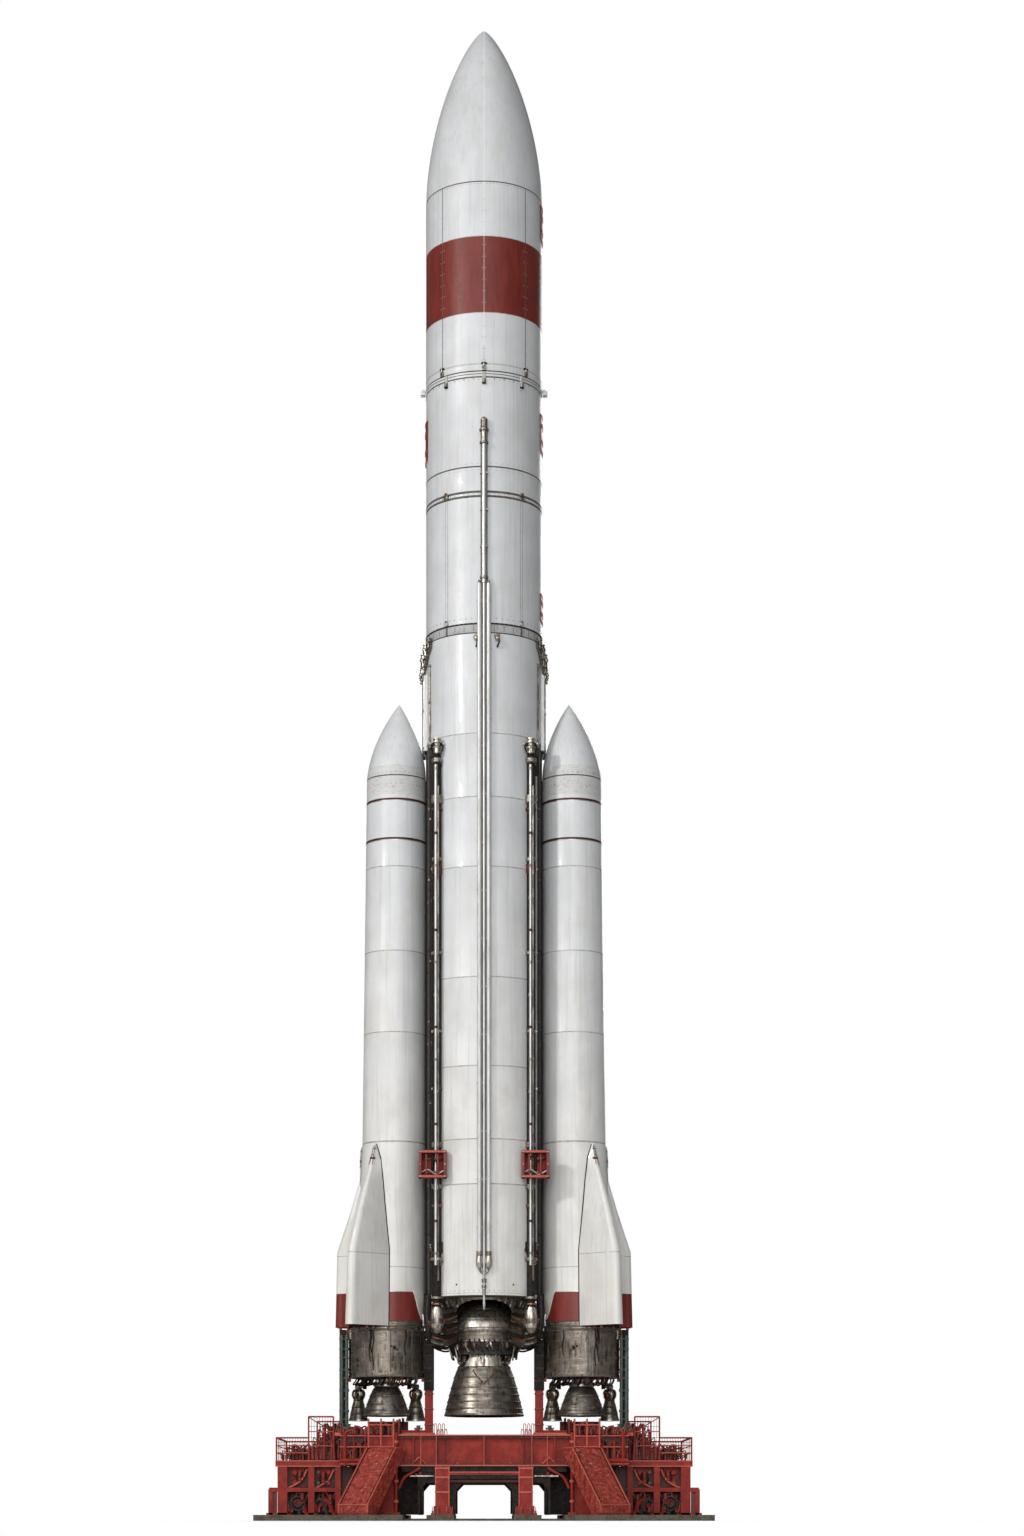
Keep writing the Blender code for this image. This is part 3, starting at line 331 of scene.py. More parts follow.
# Cast and machined aluminium, dulled outdoors: warm grey with oily dirt in its corners
ALLOY = Finish("weathered_aluminium_casting", "9A958A", metallic=0.85, roughness=(0.32, 0.55),
    grain_mm=9, grain_depth_mm=0.4, layers=(Layer("4A4036", 45, cover=0.42, strength=0.8),
    Layer("C8C4BA", 30, cover=0.2),))
# Drawn aluminium tube: bright, with lengthways polish marks
TUBE = Finish("drawn_aluminium_tube", "C6C8C8", metallic=0.75, roughness=(0.24, 0.42), grain_mm=6,
    grain_stretch=(1, 1, 30), grain_depth_mm=0.2, layers=(Layer("8B857B", 60, (1, 1, 8), 0.35, 0.5),
    Layer("6B4A38", 22, (1, 1, 4), 0.08, 0.7)))
# White-painted cable conduit
CONDUIT = Finish("white_painted_conduit", "D3D4D3", metallic=0.25, roughness=(0.28, 0.42),
    grain_mm=14, grain_stretch=(1, 1, 12), layers=(Layer("A9A69E", 60, (1, 1, 6), 0.35, 0.5),
    Layer("7A5A44", 18, (1, 1, 3), 0.07, 0.6)))
# Stainless feed pipe after hot and cold runs: grey-brown, rust-coloured bleed in patches
PIPE = Finish("heat_browned_stainless_pipe", "A39B92", metallic=0.9, roughness=(0.22, 0.45),
    grain_mm=10, grain_stretch=(1, 1, 6), grain_depth_mm=0.3, layers=(Layer("4B443F", 110,
    (1, 1, 3), 0.5, 0.75), Layer("6A4634", 70, (1, 1, 2), 0.25, 0.7), Layer("C3BEB4", 40, (1, 1, 4),
    0.16, 0.5)))
# Rolled steel skirt, brushed round and stained by heat: brown clouds, dark run marks
SKIRT = Finish("rolled_heat_stained_steel", "8A8277", metallic=0.92, roughness=(0.32, 0.5),
    grain_mm=7, grain_stretch=(14, 14, 1), grain_depth_mm=0.35, layers=(Layer("6A6156", 190,
    (2, 2, 1), 0.45, 0.75), Layer("38312A", 60, (1, 1, 5), 0.32, 0.8),
    Layer("B9B2A4", 90, (3, 3, 1), 0.24, 0.5), Layer("D8D2C6", 60, (1, 1, 12), 0.16, 0.5)))
# Spun nickel alloy bell: dark, hooped, straw and blue heat tints
BELL = Finish("spun_nickel_alloy", "89827A", metallic=0.85, roughness=(0.26, 0.46), grain_mm=8,
    grain_stretch=(16, 16, 1), grain_depth_mm=0.4, layers=(Layer("5A534A", 150, (2, 2, 1), 0.45,
    0.8), Layer("666B72", 200, (1, 1, 2), 0.26, 0.5), Layer("2C2722", 50, (1, 1, 6), 0.3, 0.8),
    Layer("C9BFAC", 50, (4, 4, 1), 0.24, 0.6)))
# Ground stainless steel: bright, with dark run marks that make it flicker
STEEL = Finish("ground_stainless_steel", "CDC6BB", metallic=0.92, roughness=(0.24, 0.42),
    grain_mm=8, grain_stretch=(1, 1, 10), grain_depth_mm=0.3, layers=(Layer("6B6156", 70, (1, 1, 4),
    0.42, 0.75), Layer("2E2823", 34, (1, 1, 7), 0.26, 0.85), Layer("E2DDD3", 30, (1, 1, 4), 0.2,
    0.6)))
# Grey satin enamel of the joint between the stages
GREY = Finish("grey_satin_enamel", "B7B9B9", roughness=(0.35, 0.5), grain_mm=30, grain_depth_mm=0.4,
    layers=(Layer("7D7A74", 60, (1, 1, 3), 0.3, 0.6), Layer("5A4F45", 16, cover=0.12,
    strength=0.7)))
# Steel black with soot, brown where it has flaked; the same black also paints shade on blocks and
# sheets in gaps and openings
SOOT_AND_SHADE = Finish("sooted_steel", "2E2926", metallic=0.5, roughness=(0.5, 0.75), grain_mm=14,
    grain_depth_mm=0.8, shine=0.3, layers=(Layer("1A1614", 80, cover=0.5, strength=0.8),
    Layer("604636", 40, cover=0.2),))
# Brown-olive baked primer of the tail cone
OLIVE = Finish("baked_olive_primer", "77705F", metallic=0.3, roughness=(0.45, 0.65), grain_mm=12,
    layers=(Layer("37302A", 70, (1, 1, 3), 0.45, 0.8), Layer("8A7D68", 36, cover=0.25,
    strength=0.7)))
# Copper alloy unions, tinted by heat
COPPER = Finish("heat_tinted_copper_alloy", "A9785A", metallic=0.9, roughness=(0.28, 0.5),
    grain_mm=8, layers=(Layer("5A3A2C", 30, cover=0.45, strength=0.8),
    Layer("D0A98C", 16, cover=0.2),))
# Red oxide enamel on rolled steel sections: satin, dusty, dark run marks and paler rubs
RED = Finish("red_oxide_enamel_on_steel", "8B241B", roughness=(0.42, 0.66), grain_mm=16,
    grain_depth_mm=0.7, shine=0.25, layers=(Layer("9F3327", 220, cover=0.45, strength=0.75),
    Layer("6A231B", 110, (1, 1, 3), 0.34, 0.5), Layer("46201B", 50, cover=0.18, strength=0.8),
    Layer("B98A78", 30, cover=0.06, strength=0.5)))
# The same enamel on a plate that boots and weather have roughened
RED_TREAD = Finish("worn_red_tread_plate", "96352A", roughness=(0.5, 0.75), grain_mm=26,
    grain_depth_mm=5.0, shine=0.3, layers=(Layer("A9493C", 80, cover=0.5, strength=0.7),
    Layer("561F1A", 70, cover=0.36, strength=0.8), Layer("D6A899", 38, (3, 1, 1), 0.16, 0.85)))
# Edges and thin bars of the same steelwork in a brighter red: painted highlight
RED_HIGHLIGHT = Finish("rubbed_red_edge", "BC5442", roughness=(0.4, 0.6), grain_mm=10,
    layers=(Layer("8F342A", 50, cover=0.35, strength=0.7), Layer("D9907F", 16, cover=0.15),))
# Grey-green enamel of valves and service pipes
GREEN = Finish("grey_green_valve_enamel", "46544F", roughness=(0.4, 0.6), grain_mm=10,
    layers=(Layer("39423D", 50, cover=0.45, strength=0.7), Layer("8E9A90", 30, cover=0.2),))
# Black hose rubber, dusty; also the black panels of painted shade in the slots beside the core
RUBBER_AND_SHADE = Finish("hose_rubber", "2A2828", roughness=(0.55, 0.75), grain_mm=6,
    layers=(Layer("5A534C", 40, cover=0.35, strength=0.5),))
# Insulation blanket inside the fairing: pale quilted cloth
LINING = Finish("quilted_insulation_blanket", "BDB8A6", roughness=(0.7, 0.85), grain_mm=30,
    grain_depth_mm=3.0, layers=(Layer("9D9784", 120, cover=0.4, strength=0.5),))
# Cast concrete pad: grey-brown, pitted, with dark damp patches
CONCRETE = Finish("cast_concrete", "5E5A50", roughness=(0.8, 0.95), grain_mm=22, grain_depth_mm=4.0,
    shine=0.2, layers=(Layer("423E37", 160, cover=0.45, strength=0.7),
    Layer("857E6F", 30, cover=0.3), Layer("37332E", 18, cover=0.18, strength=0.7)))


# Shapes

def around(angle: float, radius: float, height: float, centre_x: float = 0.0) -> Vector:
    """A point on a turned surface.

    Args:
        angle: Degrees from the front.
        radius: Distance from the axis.
        height: Height above the floor.
        centre_x: Where the axis stands.

    Returns:
        The point.
    """
    turn = math.radians(angle)
    return Vector((centre_x + radius * math.sin(turn), -radius * math.cos(turn), height))


def station(angle: float, radius: float, height: float, centre_x: float = 0.0) -> Matrix:
    """The frame at that point: X along the surface, -Y outwards, Z up."""
    spot = Matrix.Translation(around(angle, radius, height, centre_x))
    return spot @ Matrix.Rotation(math.radians(angle), 4, "Z")


def facing(sign: int) -> Matrix:
    """A frame at the origin that looks to the front for -1 and to the rear for 1."""
    return Matrix.Rotation(0.0 if sign < 0 else math.pi, 4, "Z")


def bell(top_r: float, top_z: float, exit_r: float, exit_z: float, steps: int) -> list[Pair]:
    """The outer side of a bell nozzle.

    Args:
        top_r: Radius at its top.
        top_z: Height there.
        exit_r: Radius at its exit.
        exit_z: Height there.
        steps: Number of steps down the side.

    Returns:
        Radius and height of each point, from the top to the exit.
    """
    shares = [step / steps for step in range(steps + 1)]
    return [(top_r + (exit_r - top_r) * share**0.8, top_z + (exit_z - top_z) * share) for share in
        shares]


def hooped(side: Sequence[Pair], hoops: Sequence[int], half: float, flat: float,
           proud: float) -> Profile:
    """Adds the hoops to a bell's side, up to the last point but one.

    Args:
        side: Points of the side.
        hoops: Numbers of the points that carry a hoop.
        half: Half a hoop's height at its foot.
        flat: Half its height at its top.
        proud: How far it stands out.

    Returns:
        The profile.
    """
    profile: Profile = []
    for step, (radius, height) in enumerate(side[:-1]):
        if step in hoops:
            top = [(radius + proud, height + lift) for lift in sorted({flat, -flat}, reverse=True)]
            profile += [(radius, height + half, SKIRT), *top, (radius, height - half, BELL)]
        else:
            profile.append((radius, height, BELL))
    return profile


def curved(points: Path, steps: int = 5) -> list[Vector]:
    """A smooth path through the points.

    Args:
        points: Points to pass.
        steps: Steps between two of them.

    Returns:
        Points of the path.
    """
    ends = [Vector(point) for point in points]
    ends = [2 * ends[0] - ends[1], *ends, 2 * ends[-1] - ends[-2]]
    path = []
    for a, b, c, d in zip(ends, ends[1:], ends[2:], ends[3:]):
        for step in range(steps):
            t = step / steps
            path.append(0.5 * (2 * b + (c - a) * t + (2 * a - 5 * b + 4 * c - d) * t**2 +
                (3 * b - a - 3 * c + d) * t**3))
    return path + [ends[-2]]


class Workpiece:
    """A piece in the making. Shapes are added in its current frame, each in a finish.

    Attributes:
        frame: Where shapes are drawn.
        flip: Signs of the frame's axes; every point is multiplied by them first.
    """

    def __init__(self, name: str, slot: Slot, *replaced: str, body: str = "rocket") -> None:
        """Starts an empty piece.

        Args:
            name: Name of the finished object.
            slot: Slot of the record that it belongs to; not used.
            replaced: Nodes that it stands for.
            body: Body that it rides on.
        """
        self.name, self.body, self.slot, self.replaced = name, body, slot, replaced
        self.grid = bmesh.new()
        self.finishes: list[Finish] = []
        self.frame, self.flip = NO_TURN, Vector((1, 1, 1))

    @contextlib.contextmanager
    def at(self, place: Matrix) -> Iterator[None]:
        """Draws the shapes of a with block in a frame inside the current one.

        Args:
            place: That frame.

        Yields:
            Nothing.
        """
        kept = self.frame, self.flip
        self.frame, self.flip = self.frame @ place, Vector((1, 1, 1))
        yield
        self.frame, self.flip = kept

    def mirrored(self, axis: int = 0) -> Iterator[int]:
        """Draws the shapes of a loop on both sides of the frame.

        Args:
            axis: Number of the axis that changes its sign.

        Yields:
            That sign, first -1 and then 1.
        """
        for sign in (-1, 1):
            self.flip[axis] = sign
            yield sign
        self.flip[axis] = 1

    def _spot(self, point: Point) -> Vector:
        """A point on the side of the frame that is being drawn."""
        return Vector(point) * self.flip

    def _number(self, finish: Finish) -> int:
        """Looks up a finish, which is added when it is new.

        Args:
            finish: The finish.

        Returns:
            Its number in the piece.
        """
        if finish not in self.finishes:
            self.finishes.append(finish)
        return self.finishes.index(finish)

    def _paint(self, verts: Iterable[BMVert], finish: Finish) -> None:
        """Gives the faces round some points a finish.

        Args:
            verts: The points.
            finish: The finish.
        """
        number = self._number(finish)
        for vert in verts:
            for face in vert.link_faces:
                face.material_index = number

    def block(self, low: Point, high: Point, finish: Finish, bevel: float = 0.0) -> None:
        """Adds a box between two corners.

        Args:
            low: One corner.
            high: The corner across from it.
            finish: Its finish.
            bevel: Width of its rounded edges.
        """
        corners = self._spot(low), self._spot(high)
        low, high = (Vector([*map(pick, *corners)]) for pick in (min, max))
        size = Matrix.Diagonal((*(high - low), 1.0))
        place = self.frame @ Matrix.Translation((low + high) / 2) @ size
        verts = bmesh.ops.create_cube(self.grid, size=1.0, matrix=place)["verts"]
        self._paint(verts, finish)
        if bevel:
            edges = list({edge for vert in verts for edge in vert.link_edges})
            bmesh.ops.bevel(self.grid, geom=edges, offset=bevel, segments=2, profile=0.5,
                affect="EDGES", material=-1)

    def blocks(self, finish: Finish, *rows: Point, bevel: float = 0.0) -> None:
        """Adds boxes, each given by its limits along X, Y and Z."""
        for x0, x1, y0, y1, z0, z1 in rows:
            self.block((x0, y0, z0), (x1, y1, z1), finish, bevel)

    def rod(
        self, start: Point, end: Point, radius: float, finish: Finish,
        sides: int = 12, end_radius: float | None = None,
    ) -> None:
        """Adds a round bar or a cone.

        Args:
            start: Centre of one end.
            end: Centre of the other.
            radius: Radius at the start.
            finish: Its finish.
            sides: Faces round it.
            end_radius: Radius at the end, where it differs.
        """
        start, end = self._spot(start), self._spot(end)
        along = end - start
        turn = along.to_track_quat("Z", "Y").to_matrix().to_4x4()
        made = bmesh.ops.create_cone(self.grid, cap_ends=True, segments=sides, radius1=radius,
            radius2=radius if end_radius is None else end_radius, depth=along.length,
            matrix=self.frame @ Matrix.Translation((start + end) / 2) @ turn)
        self._paint(made["verts"], finish)

    def post(self, x: float, y: float, low: float, high: float, radius: float, finish: Finish,
             sides: int = 8, end_radius: float | None = None) -> None:
        """Adds an upright round bar."""
        self.rod((x, y, low), (x, y, high), radius, finish, sides, end_radius)

    def ball(self, centre: Point, radius: float, finish: Finish, detail: int = 2) -> None:
        """Adds a ball.

        Args:
            centre: Its middle.
            radius: Its radius.
            finish: Its finish.
            detail: How often its faces are split.
        """
        place = self.frame @ Matrix.Translation(self._spot(centre))
        made = bmesh.ops.create_icosphere(self.grid, subdivisions=detail, radius=radius,
            matrix=place)
        self._paint(made["verts"], finish)

    def hose(self, points: Path, radius: float, finish: Finish,
             sides: int = 6, steps: int = 4) -> None:
        """Adds a tube that runs smoothly through the points."""
        self.pipe(curved(points, steps), radius, finish, sides)

    def pipe(self, path: Path, radius: float, finish: Finish, sides: int = 10) -> None:
        """Adds a bent tube.

        Args:
            path: Points along its middle.
            radius: Its radius.
            finish: Its finish.
            sides: Faces round it.
        """
        points = [self._spot(point) for point in path]
        part = bmesh.new()
        verts = bmesh.ops.create_circle(part, cap_ends=False, radius=radius,
            segments=sides)["verts"]
        ring = part.edges[:]
        first = ring
        heading = (points[1] - points[0]).normalized()
        turn = heading.to_track_quat("Z", "Y")
        placed = NO_TURN
        for number, point in enumerate(points):
            near, far = points[max(number - 1, 0)], points[min(number + 1, len(points) - 1)]
            ahead = (far - near).normalized()
            turn = heading.rotation_difference(ahead) @ turn
            heading = ahead
            target = self.frame @ Matrix.Translation(point) @ turn.to_matrix().to_4x4()
            if number:
                made = bmesh.ops.extrude_edge_only(part, edges=ring)["geom"]
                ring = [item for item in made if isinstance(item, BMEdge)]
                verts = [item for item in made if isinstance(item, BMVert)]
            bmesh.ops.transform(part, matrix=target @ placed.inverted(), verts=verts)
            placed = target
        bmesh.ops.holes_fill(part, edges=first + ring, sides=0)
        self._paint(part.verts, finish)
        self._merge(part)

    def _merge(self, part: BMesh) -> None:
        """Moves a shape that was drawn on its own into the piece.

        Args:
            part: That shape, which is freed.
        """
        mesh = bpy.data.meshes.new("part")
        part.to_mesh(mesh)
        part.free()
        self.grid.from_mesh(mesh)
        bpy.data.meshes.remove(mesh)

    def loft(self, sections: Sequence[Path], finish: Finish, ring: bool = False) -> None:
        """Adds a closed body through outlines that have the same number of points.

        Args:
            sections: The outlines in order, each a list of points.
            finish: Its finish.
            ring: Whether the last outline joins the first, so that nothing is capped.
        """
        rings, every = [], []
        for section in sections:
            verts = [self.grid.verts.new(self.frame @ self._spot(point)) for point in section]
            rings.append([self.grid.edges.new(pair) for pair in zip(verts, verts[1:] + verts[:1])])
            every += verts
        for low, high in zip(rings, rings[1:] + rings[:1] if ring else rings[1:]):
            bmesh.ops.bridge_loops(self.grid, edges=low + high)
        if not ring:
            bmesh.ops.holes_fill(self.grid, edges=rings[0] + rings[-1], sides=0)
        self._paint(every, finish)

    def prism(self, outline: Sequence[Pair], low_y: float, high_y: float, finish: Finish) -> None:
        """Adds a flat outline drawn in X and Z, made thick along Y.

        Args:
            outline: Its corners in order.
            low_y: Where it starts.
            high_y: Where it ends.
            finish: Its finish.
        """
        self.loft([[(x, y, z) for x, z in outline] for y in (low_y, high_y)], finish)

    def turned(
        self, profile: Sequence[tuple], finish: Finish, sides: int = 64,
        lean: Matrix = NO_TURN, trim: Sequence[tuple[Vector, Vector]] = (),
    ) -> None:
        """Adds a profile turned about the frame's Z axis.

        Args:
            profile: Points of radius and height; a third item is the finish of what follows.
            finish: Finish of what names none.
            sides: Steps of the full turn.
            lean: Matrix that leans the turned shape.
            trim: Planes, as point and normal, whose far side is cut off and closed.
        """
        part = bmesh.new()
        tag = part.verts.layers.int.new("row")
        verts = []
        for row, (radius, height, *_) in enumerate(profile):
            vert = part.verts.new((radius, 0.0, height))
            vert[tag] = row
            verts.append(vert)
        pairs = list(zip(verts, verts[1:]))
        if profile[0][0] > 0 or profile[-1][0] > 0:
            pairs.append((verts[-1], verts[0]))
        edges = [part.edges.new(pair) for pair in pairs]
        bmesh.ops.spin(part, geom=verts + edges, cent=(0, 0, 0), axis=(0, 0, 1), angle=math.tau,
            steps=sides, use_merge=True)
        poles = [vert for vert in part.verts if math.hypot(vert.co.x, vert.co.y) < 1e-5]
        bmesh.ops.remove_doubles(part, verts=poles, dist=1e-4)
        numbers = [self._number(point[2] if len(point) > 2 else finish) for point in profile]
        last = len(profile) - 1
        for face in part.faces:
            rows = {vert[tag] for vert in face.verts}
            row = last if {0, last} <= rows and len(profile) > 2 else min(rows)
            face.material_index = numbers[row]
        for point, normal in trim:
            cut = bmesh.ops.bisect_plane(part, geom=part.verts[:] + part.edges[:] + part.faces[:],
                plane_co=point, plane_no=normal, clear_outer=True)
            rim = [item for item in cut["geom_cut"] if isinstance(item, BMEdge)]
            filled = bmesh.ops.holes_fill(part, edges=rim, sides=0)["faces"]
            for face in filled:
                face.material_index = numbers[0]
        bmesh.ops.transform(part, matrix=self.frame @ lean, verts=part.verts)
        self._merge(part)

    def rivets(
        self, spots: Iterable[Matrix], radius: float, finish: Finish, height: float = 0.007
    ) -> None:
        """Adds a row of low heads, each facing out of its frame.

        Args:
            spots: A frame on the surface for each head.
            radius: Radius of a head.
            finish: Their finish.
            height: How proud they stand.
        """
        for spot in spots:
            with self.at(spot):
                self.rod((0, 0.002, 0), (0, -height, 0), radius, finish, 6, radius * 0.6)

    def valve(self, place: Matrix, size: float, body: Finish, trim: Finish) -> None:
        """Adds a small valve with flanges, a bonnet, unions and bent sense lines.

        Args:
            place: Frame at its foot, facing along -Y.
            size: Its half height.
            body: Finish of its casting.
            trim: Finish of its unions.
        """
        reach = size * 0.62
        with self.at(place):
            self.post(0, -reach, -size, size, size * 0.42, body, 14)
            for height in (-0.85, -0.2, 0.5, 0.95):
                self.post(0, -reach, size * (height - 0.07), size * (height + 0.07), size * 0.58,
                    body, 14)
            self.ball((0, -reach * 1.5, size * 0.1), size * 0.42, body)
            for _ in self.mirrored():
                end = (size * 0.85, -reach, size * 0.3)
                self.rod((size * 0.2, -reach, size * 0.2), end, size * 0.19, trim, 8)
                self.ball(end, size * 0.24, body, 1)
                self.hose([(size * 0.7, -reach, size * 0.3), (size * 0.8, -reach * 1.5,
                    -size * 0.3), (size * 0.45, -reach, -size)], size * 0.1, trim)
            self.block((-size * 0.3, -reach, size * 0.7), (size * 0.3, 0.01, size * 1.05), body)

    def deliver(self, sharp: float = 40.0) -> None:
        """Finishes the piece: closes its mesh, dresses it and hands it to its body.

        Args:
            sharp: Angle in degrees from which an edge stays sharp.
        """
        bmesh.ops.recalc_face_normals(self.grid, faces=self.grid.faces)
        mesh = bpy.data.meshes.new(self.name)
        self.grid.to_mesh(mesh)
        self.grid.free()
        mesh.polygons.foreach_set("use_smooth", [True] * len(mesh.polygons))
        mesh.set_sharp_from_angle(angle=math.radians(sharp))
        for finish in self.finishes:
            mesh.materials.append(finish.material())
        piece = bpy.data.objects.new(self.name, mesh)
        bpy.context.scene.collection.objects.link(piece)
        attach(piece, self.body)
        if self.replaced:
            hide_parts(*self.replaced)
        LOG.info("%s: %d faces", self.name, len(mesh.polygons))


def ring_spots(radius: float, height: float, count: int, centre_x: float = 0.0) -> list[Matrix]:
    """Evenly spaced frames round a turned surface."""
    return [station(360 * step / count, radius, height, centre_x) for step in range(count)]


def column_spots(
    angle: float, radius: float, low: float, high: float, pitch: float
) -> list[Matrix]:
    """Evenly spaced frames up a turned surface."""
    count = int((high - low) / pitch)
    return [station(angle, radius, low + pitch * (step + 0.5)) for step in range(count)]


# Core stack

@dataclass
class Fairing:
    """The nose: two shells with their seams, rivets, latches and lining."""

    radius: float = 1.125
    wall: float = 0.03
    foot_z: float = 21.965
    ogive_z: float = 25.62
    tip_z: float = 28.998
    band_z: Pair = (23.09, 24.54)
    plate_z: Pair = (24.84, 25.48)
    half_gap: float = 0.0025
    hinge_x: float = 1.2
    hinge_z: float = 21.955

    def profile(self, radius: float, tip_z: float, steps: int) -> list[Pair]:
        """The ogive from its tip down to where it meets the cylinder.

        Args:
            radius: Radius of its foot.
            tip_z: Height of its tip.
            steps: Points below the tip.

        Returns:
            Points of radius and height.
        """
        points = [(0.0, tip_z)]
        for step in range(1, steps + 1):
            share = 1.0 - (step / steps) ** 2
            points.append((radius * (1.0 - share**1.75) ** 0.75, self.ogive_z + share *
                (tip_z - self.ogive_z)))
        return points

    def build(self) -> None:
        """Builds both halves and what they close round."""
        for side in Side:
            self.shell(side)
            self.trim(side)

    def shell(self, side: Side) -> None:
        """One shell with its hinge knuckle.

        Args:
            side: Which half.
        """
        sign, r = side.value, self.radius
        work = Workpiece(f"fairing_shell_{side.label}", Slot.WHITE, f"fairing_{side.label}",
            body=f"{side.label}_fairing_half")
        low, high = self.band_z
        outer = [(*point, WHITE) for point in self.profile(r, self.tip_z, 36)]
        outer += [(r, self.ogive_z - 0.02, SEAM), (r - 0.003, self.ogive_z - 0.022, SEAM),
            (r - 0.003, self.ogive_z - 0.04, SEAM), (r, self.ogive_z - 0.042, WHITE),
            (r, high + 0.012, WELD), (r, high, BAND_RED), (r, low, WELD), (r, low - 0.012, WHITE),
            (r, self.foot_z + 0.14, WELD), (r, self.foot_z + 0.128, WHITE),
            (r, self.foot_z + 0.012, SEAM), (r - 0.004, self.foot_z, SEAM),
            (r - self.wall, self.foot_z, LINING)]
        inner = [(*point, LINING) for point in self.profile(r - self.wall, self.tip_z - self.wall,
            24)]
        middle = Vector((sign * self.half_gap, 0, 0))
        work.turned(outer + inner[::-1], WHITE, 128, trim=[(middle, Vector((-sign, 0, 0)))])
        work.flip.x = sign
        x, z = self.hinge_x, self.hinge_z
        work.rod((x, -0.04, z), (x, 0.04, z), 0.03, CONDUIT, 20)
        work.block((r - 0.01, -0.04, self.foot_z), (x, 0.04, self.foot_z + 0.04), CONDUIT)
        work.deliver(30.0)

    def trim(self, side: Side) -> None:
        """Seams, rivets and latch keepers of one shell, ribs inside it, and the right one's plate.

        Args:
            side: Which half.
        """
        sign, r, low, high = side.value, self.radius, self.foot_z, self.ogive_z
        work = Workpiece(f"fairing_seams_{side.label}", Slot.WHITE,
            body=f"{side.label}_fairing_half")
        for turn in (45, 90, 135):
            with work.at(station(sign * turn, r, 0)):
                work.block((-0.007, -0.002, low + 0.03), (0.007, 0.004, high - 0.04), SEAM)
        for turn in (42.8, 47.2, 87.8, 92.2, 132.8, 137.2, 1.44, 178.6):
            work.rivets(column_spots(sign * turn, r, low + 0.1, high - 0.05, 0.22), 0.01, WELD,
                0.004)
        for height in (high - 0.07, low + 0.15):
            work.rivets([station(sign * (3 + 3 * step), r, height) for step in range(59)], 0.009,
                SEAM, 0.004)
        for turn in (45, 135, 0, 180)[:2 + 2 * (side is Side.RIGHT)]:
            with work.at(station(sign * turn, r, low)):
                work.block((-0.04, -0.03, 0.006), (0.04, 0.004, 0.09), ALLOY, 0.006)
                work.post(0, -0.02, 0.09, 0.14, 0.022, ALLOY)
                work.block((-0.05, -0.03, 0.13), (0.05, 0.004, 0.16), SOOT_AND_SHADE)
        if side is Side.RIGHT:
            umbilical(work, 90, r, *self.plate_z)
        inner = r - self.wall
        for z in (22.6, 23.4, 24.2, 25.0, 25.6):
            work.turned([(inner + 0.001, z + 0.03), (inner + 0.001, z - 0.03),
                (inner - 0.035, z - 0.02), (inner - 0.035, z + 0.02)], ALLOY, 64,
                trim=[(Vector((sign * 0.006, 0, 0)), Vector((-sign, 0, 0)))])
        for turn in (15, 45, 75, 105, 135, 165):
            with work.at(station(sign * turn, inner, 0)):
                work.block((-0.015, -0.001, 22.1), (0.015, 0.025, 25.6), ALLOY)
        work.deliver()


def umbilical(work: Workpiece, angle: float, radius: float, low: float, high: float) -> None:
    """Adds a red umbilical plate with its rim and sockets, which are left empty.

    Args:
        work: Piece that takes it.
        angle: Where it stands round the rocket.
        radius: Radius of the skin.
        low: Its lower edge.
        high: Its upper edge.
    """
    tall = (high - low) / 2
    for step in range(-5, 6):
        with work.at(station(angle + step * 2.9, radius, (low + high) / 2)):
            work.block((-0.0287, -0.014, -tall), (0.0287, 0.02, tall), BAND_RED)
            for _ in work.mirrored(2):
                work.block((-0.0287, -0.022, tall - 0.014), (0.0287, 0.0, tall + 0.014), RED_HIGHLIGHT)
                for out, size, finish, sides in ((0.024, 0.05, ALLOY, 16), (0.026, 0.03, SOOT_AND_SHADE, 12)):
                    if step % 3 == 0:
                        work.rod((0, -0.01, tall * 0.45), (0, -out, tall * 0.45), size, finish,
                            sides)


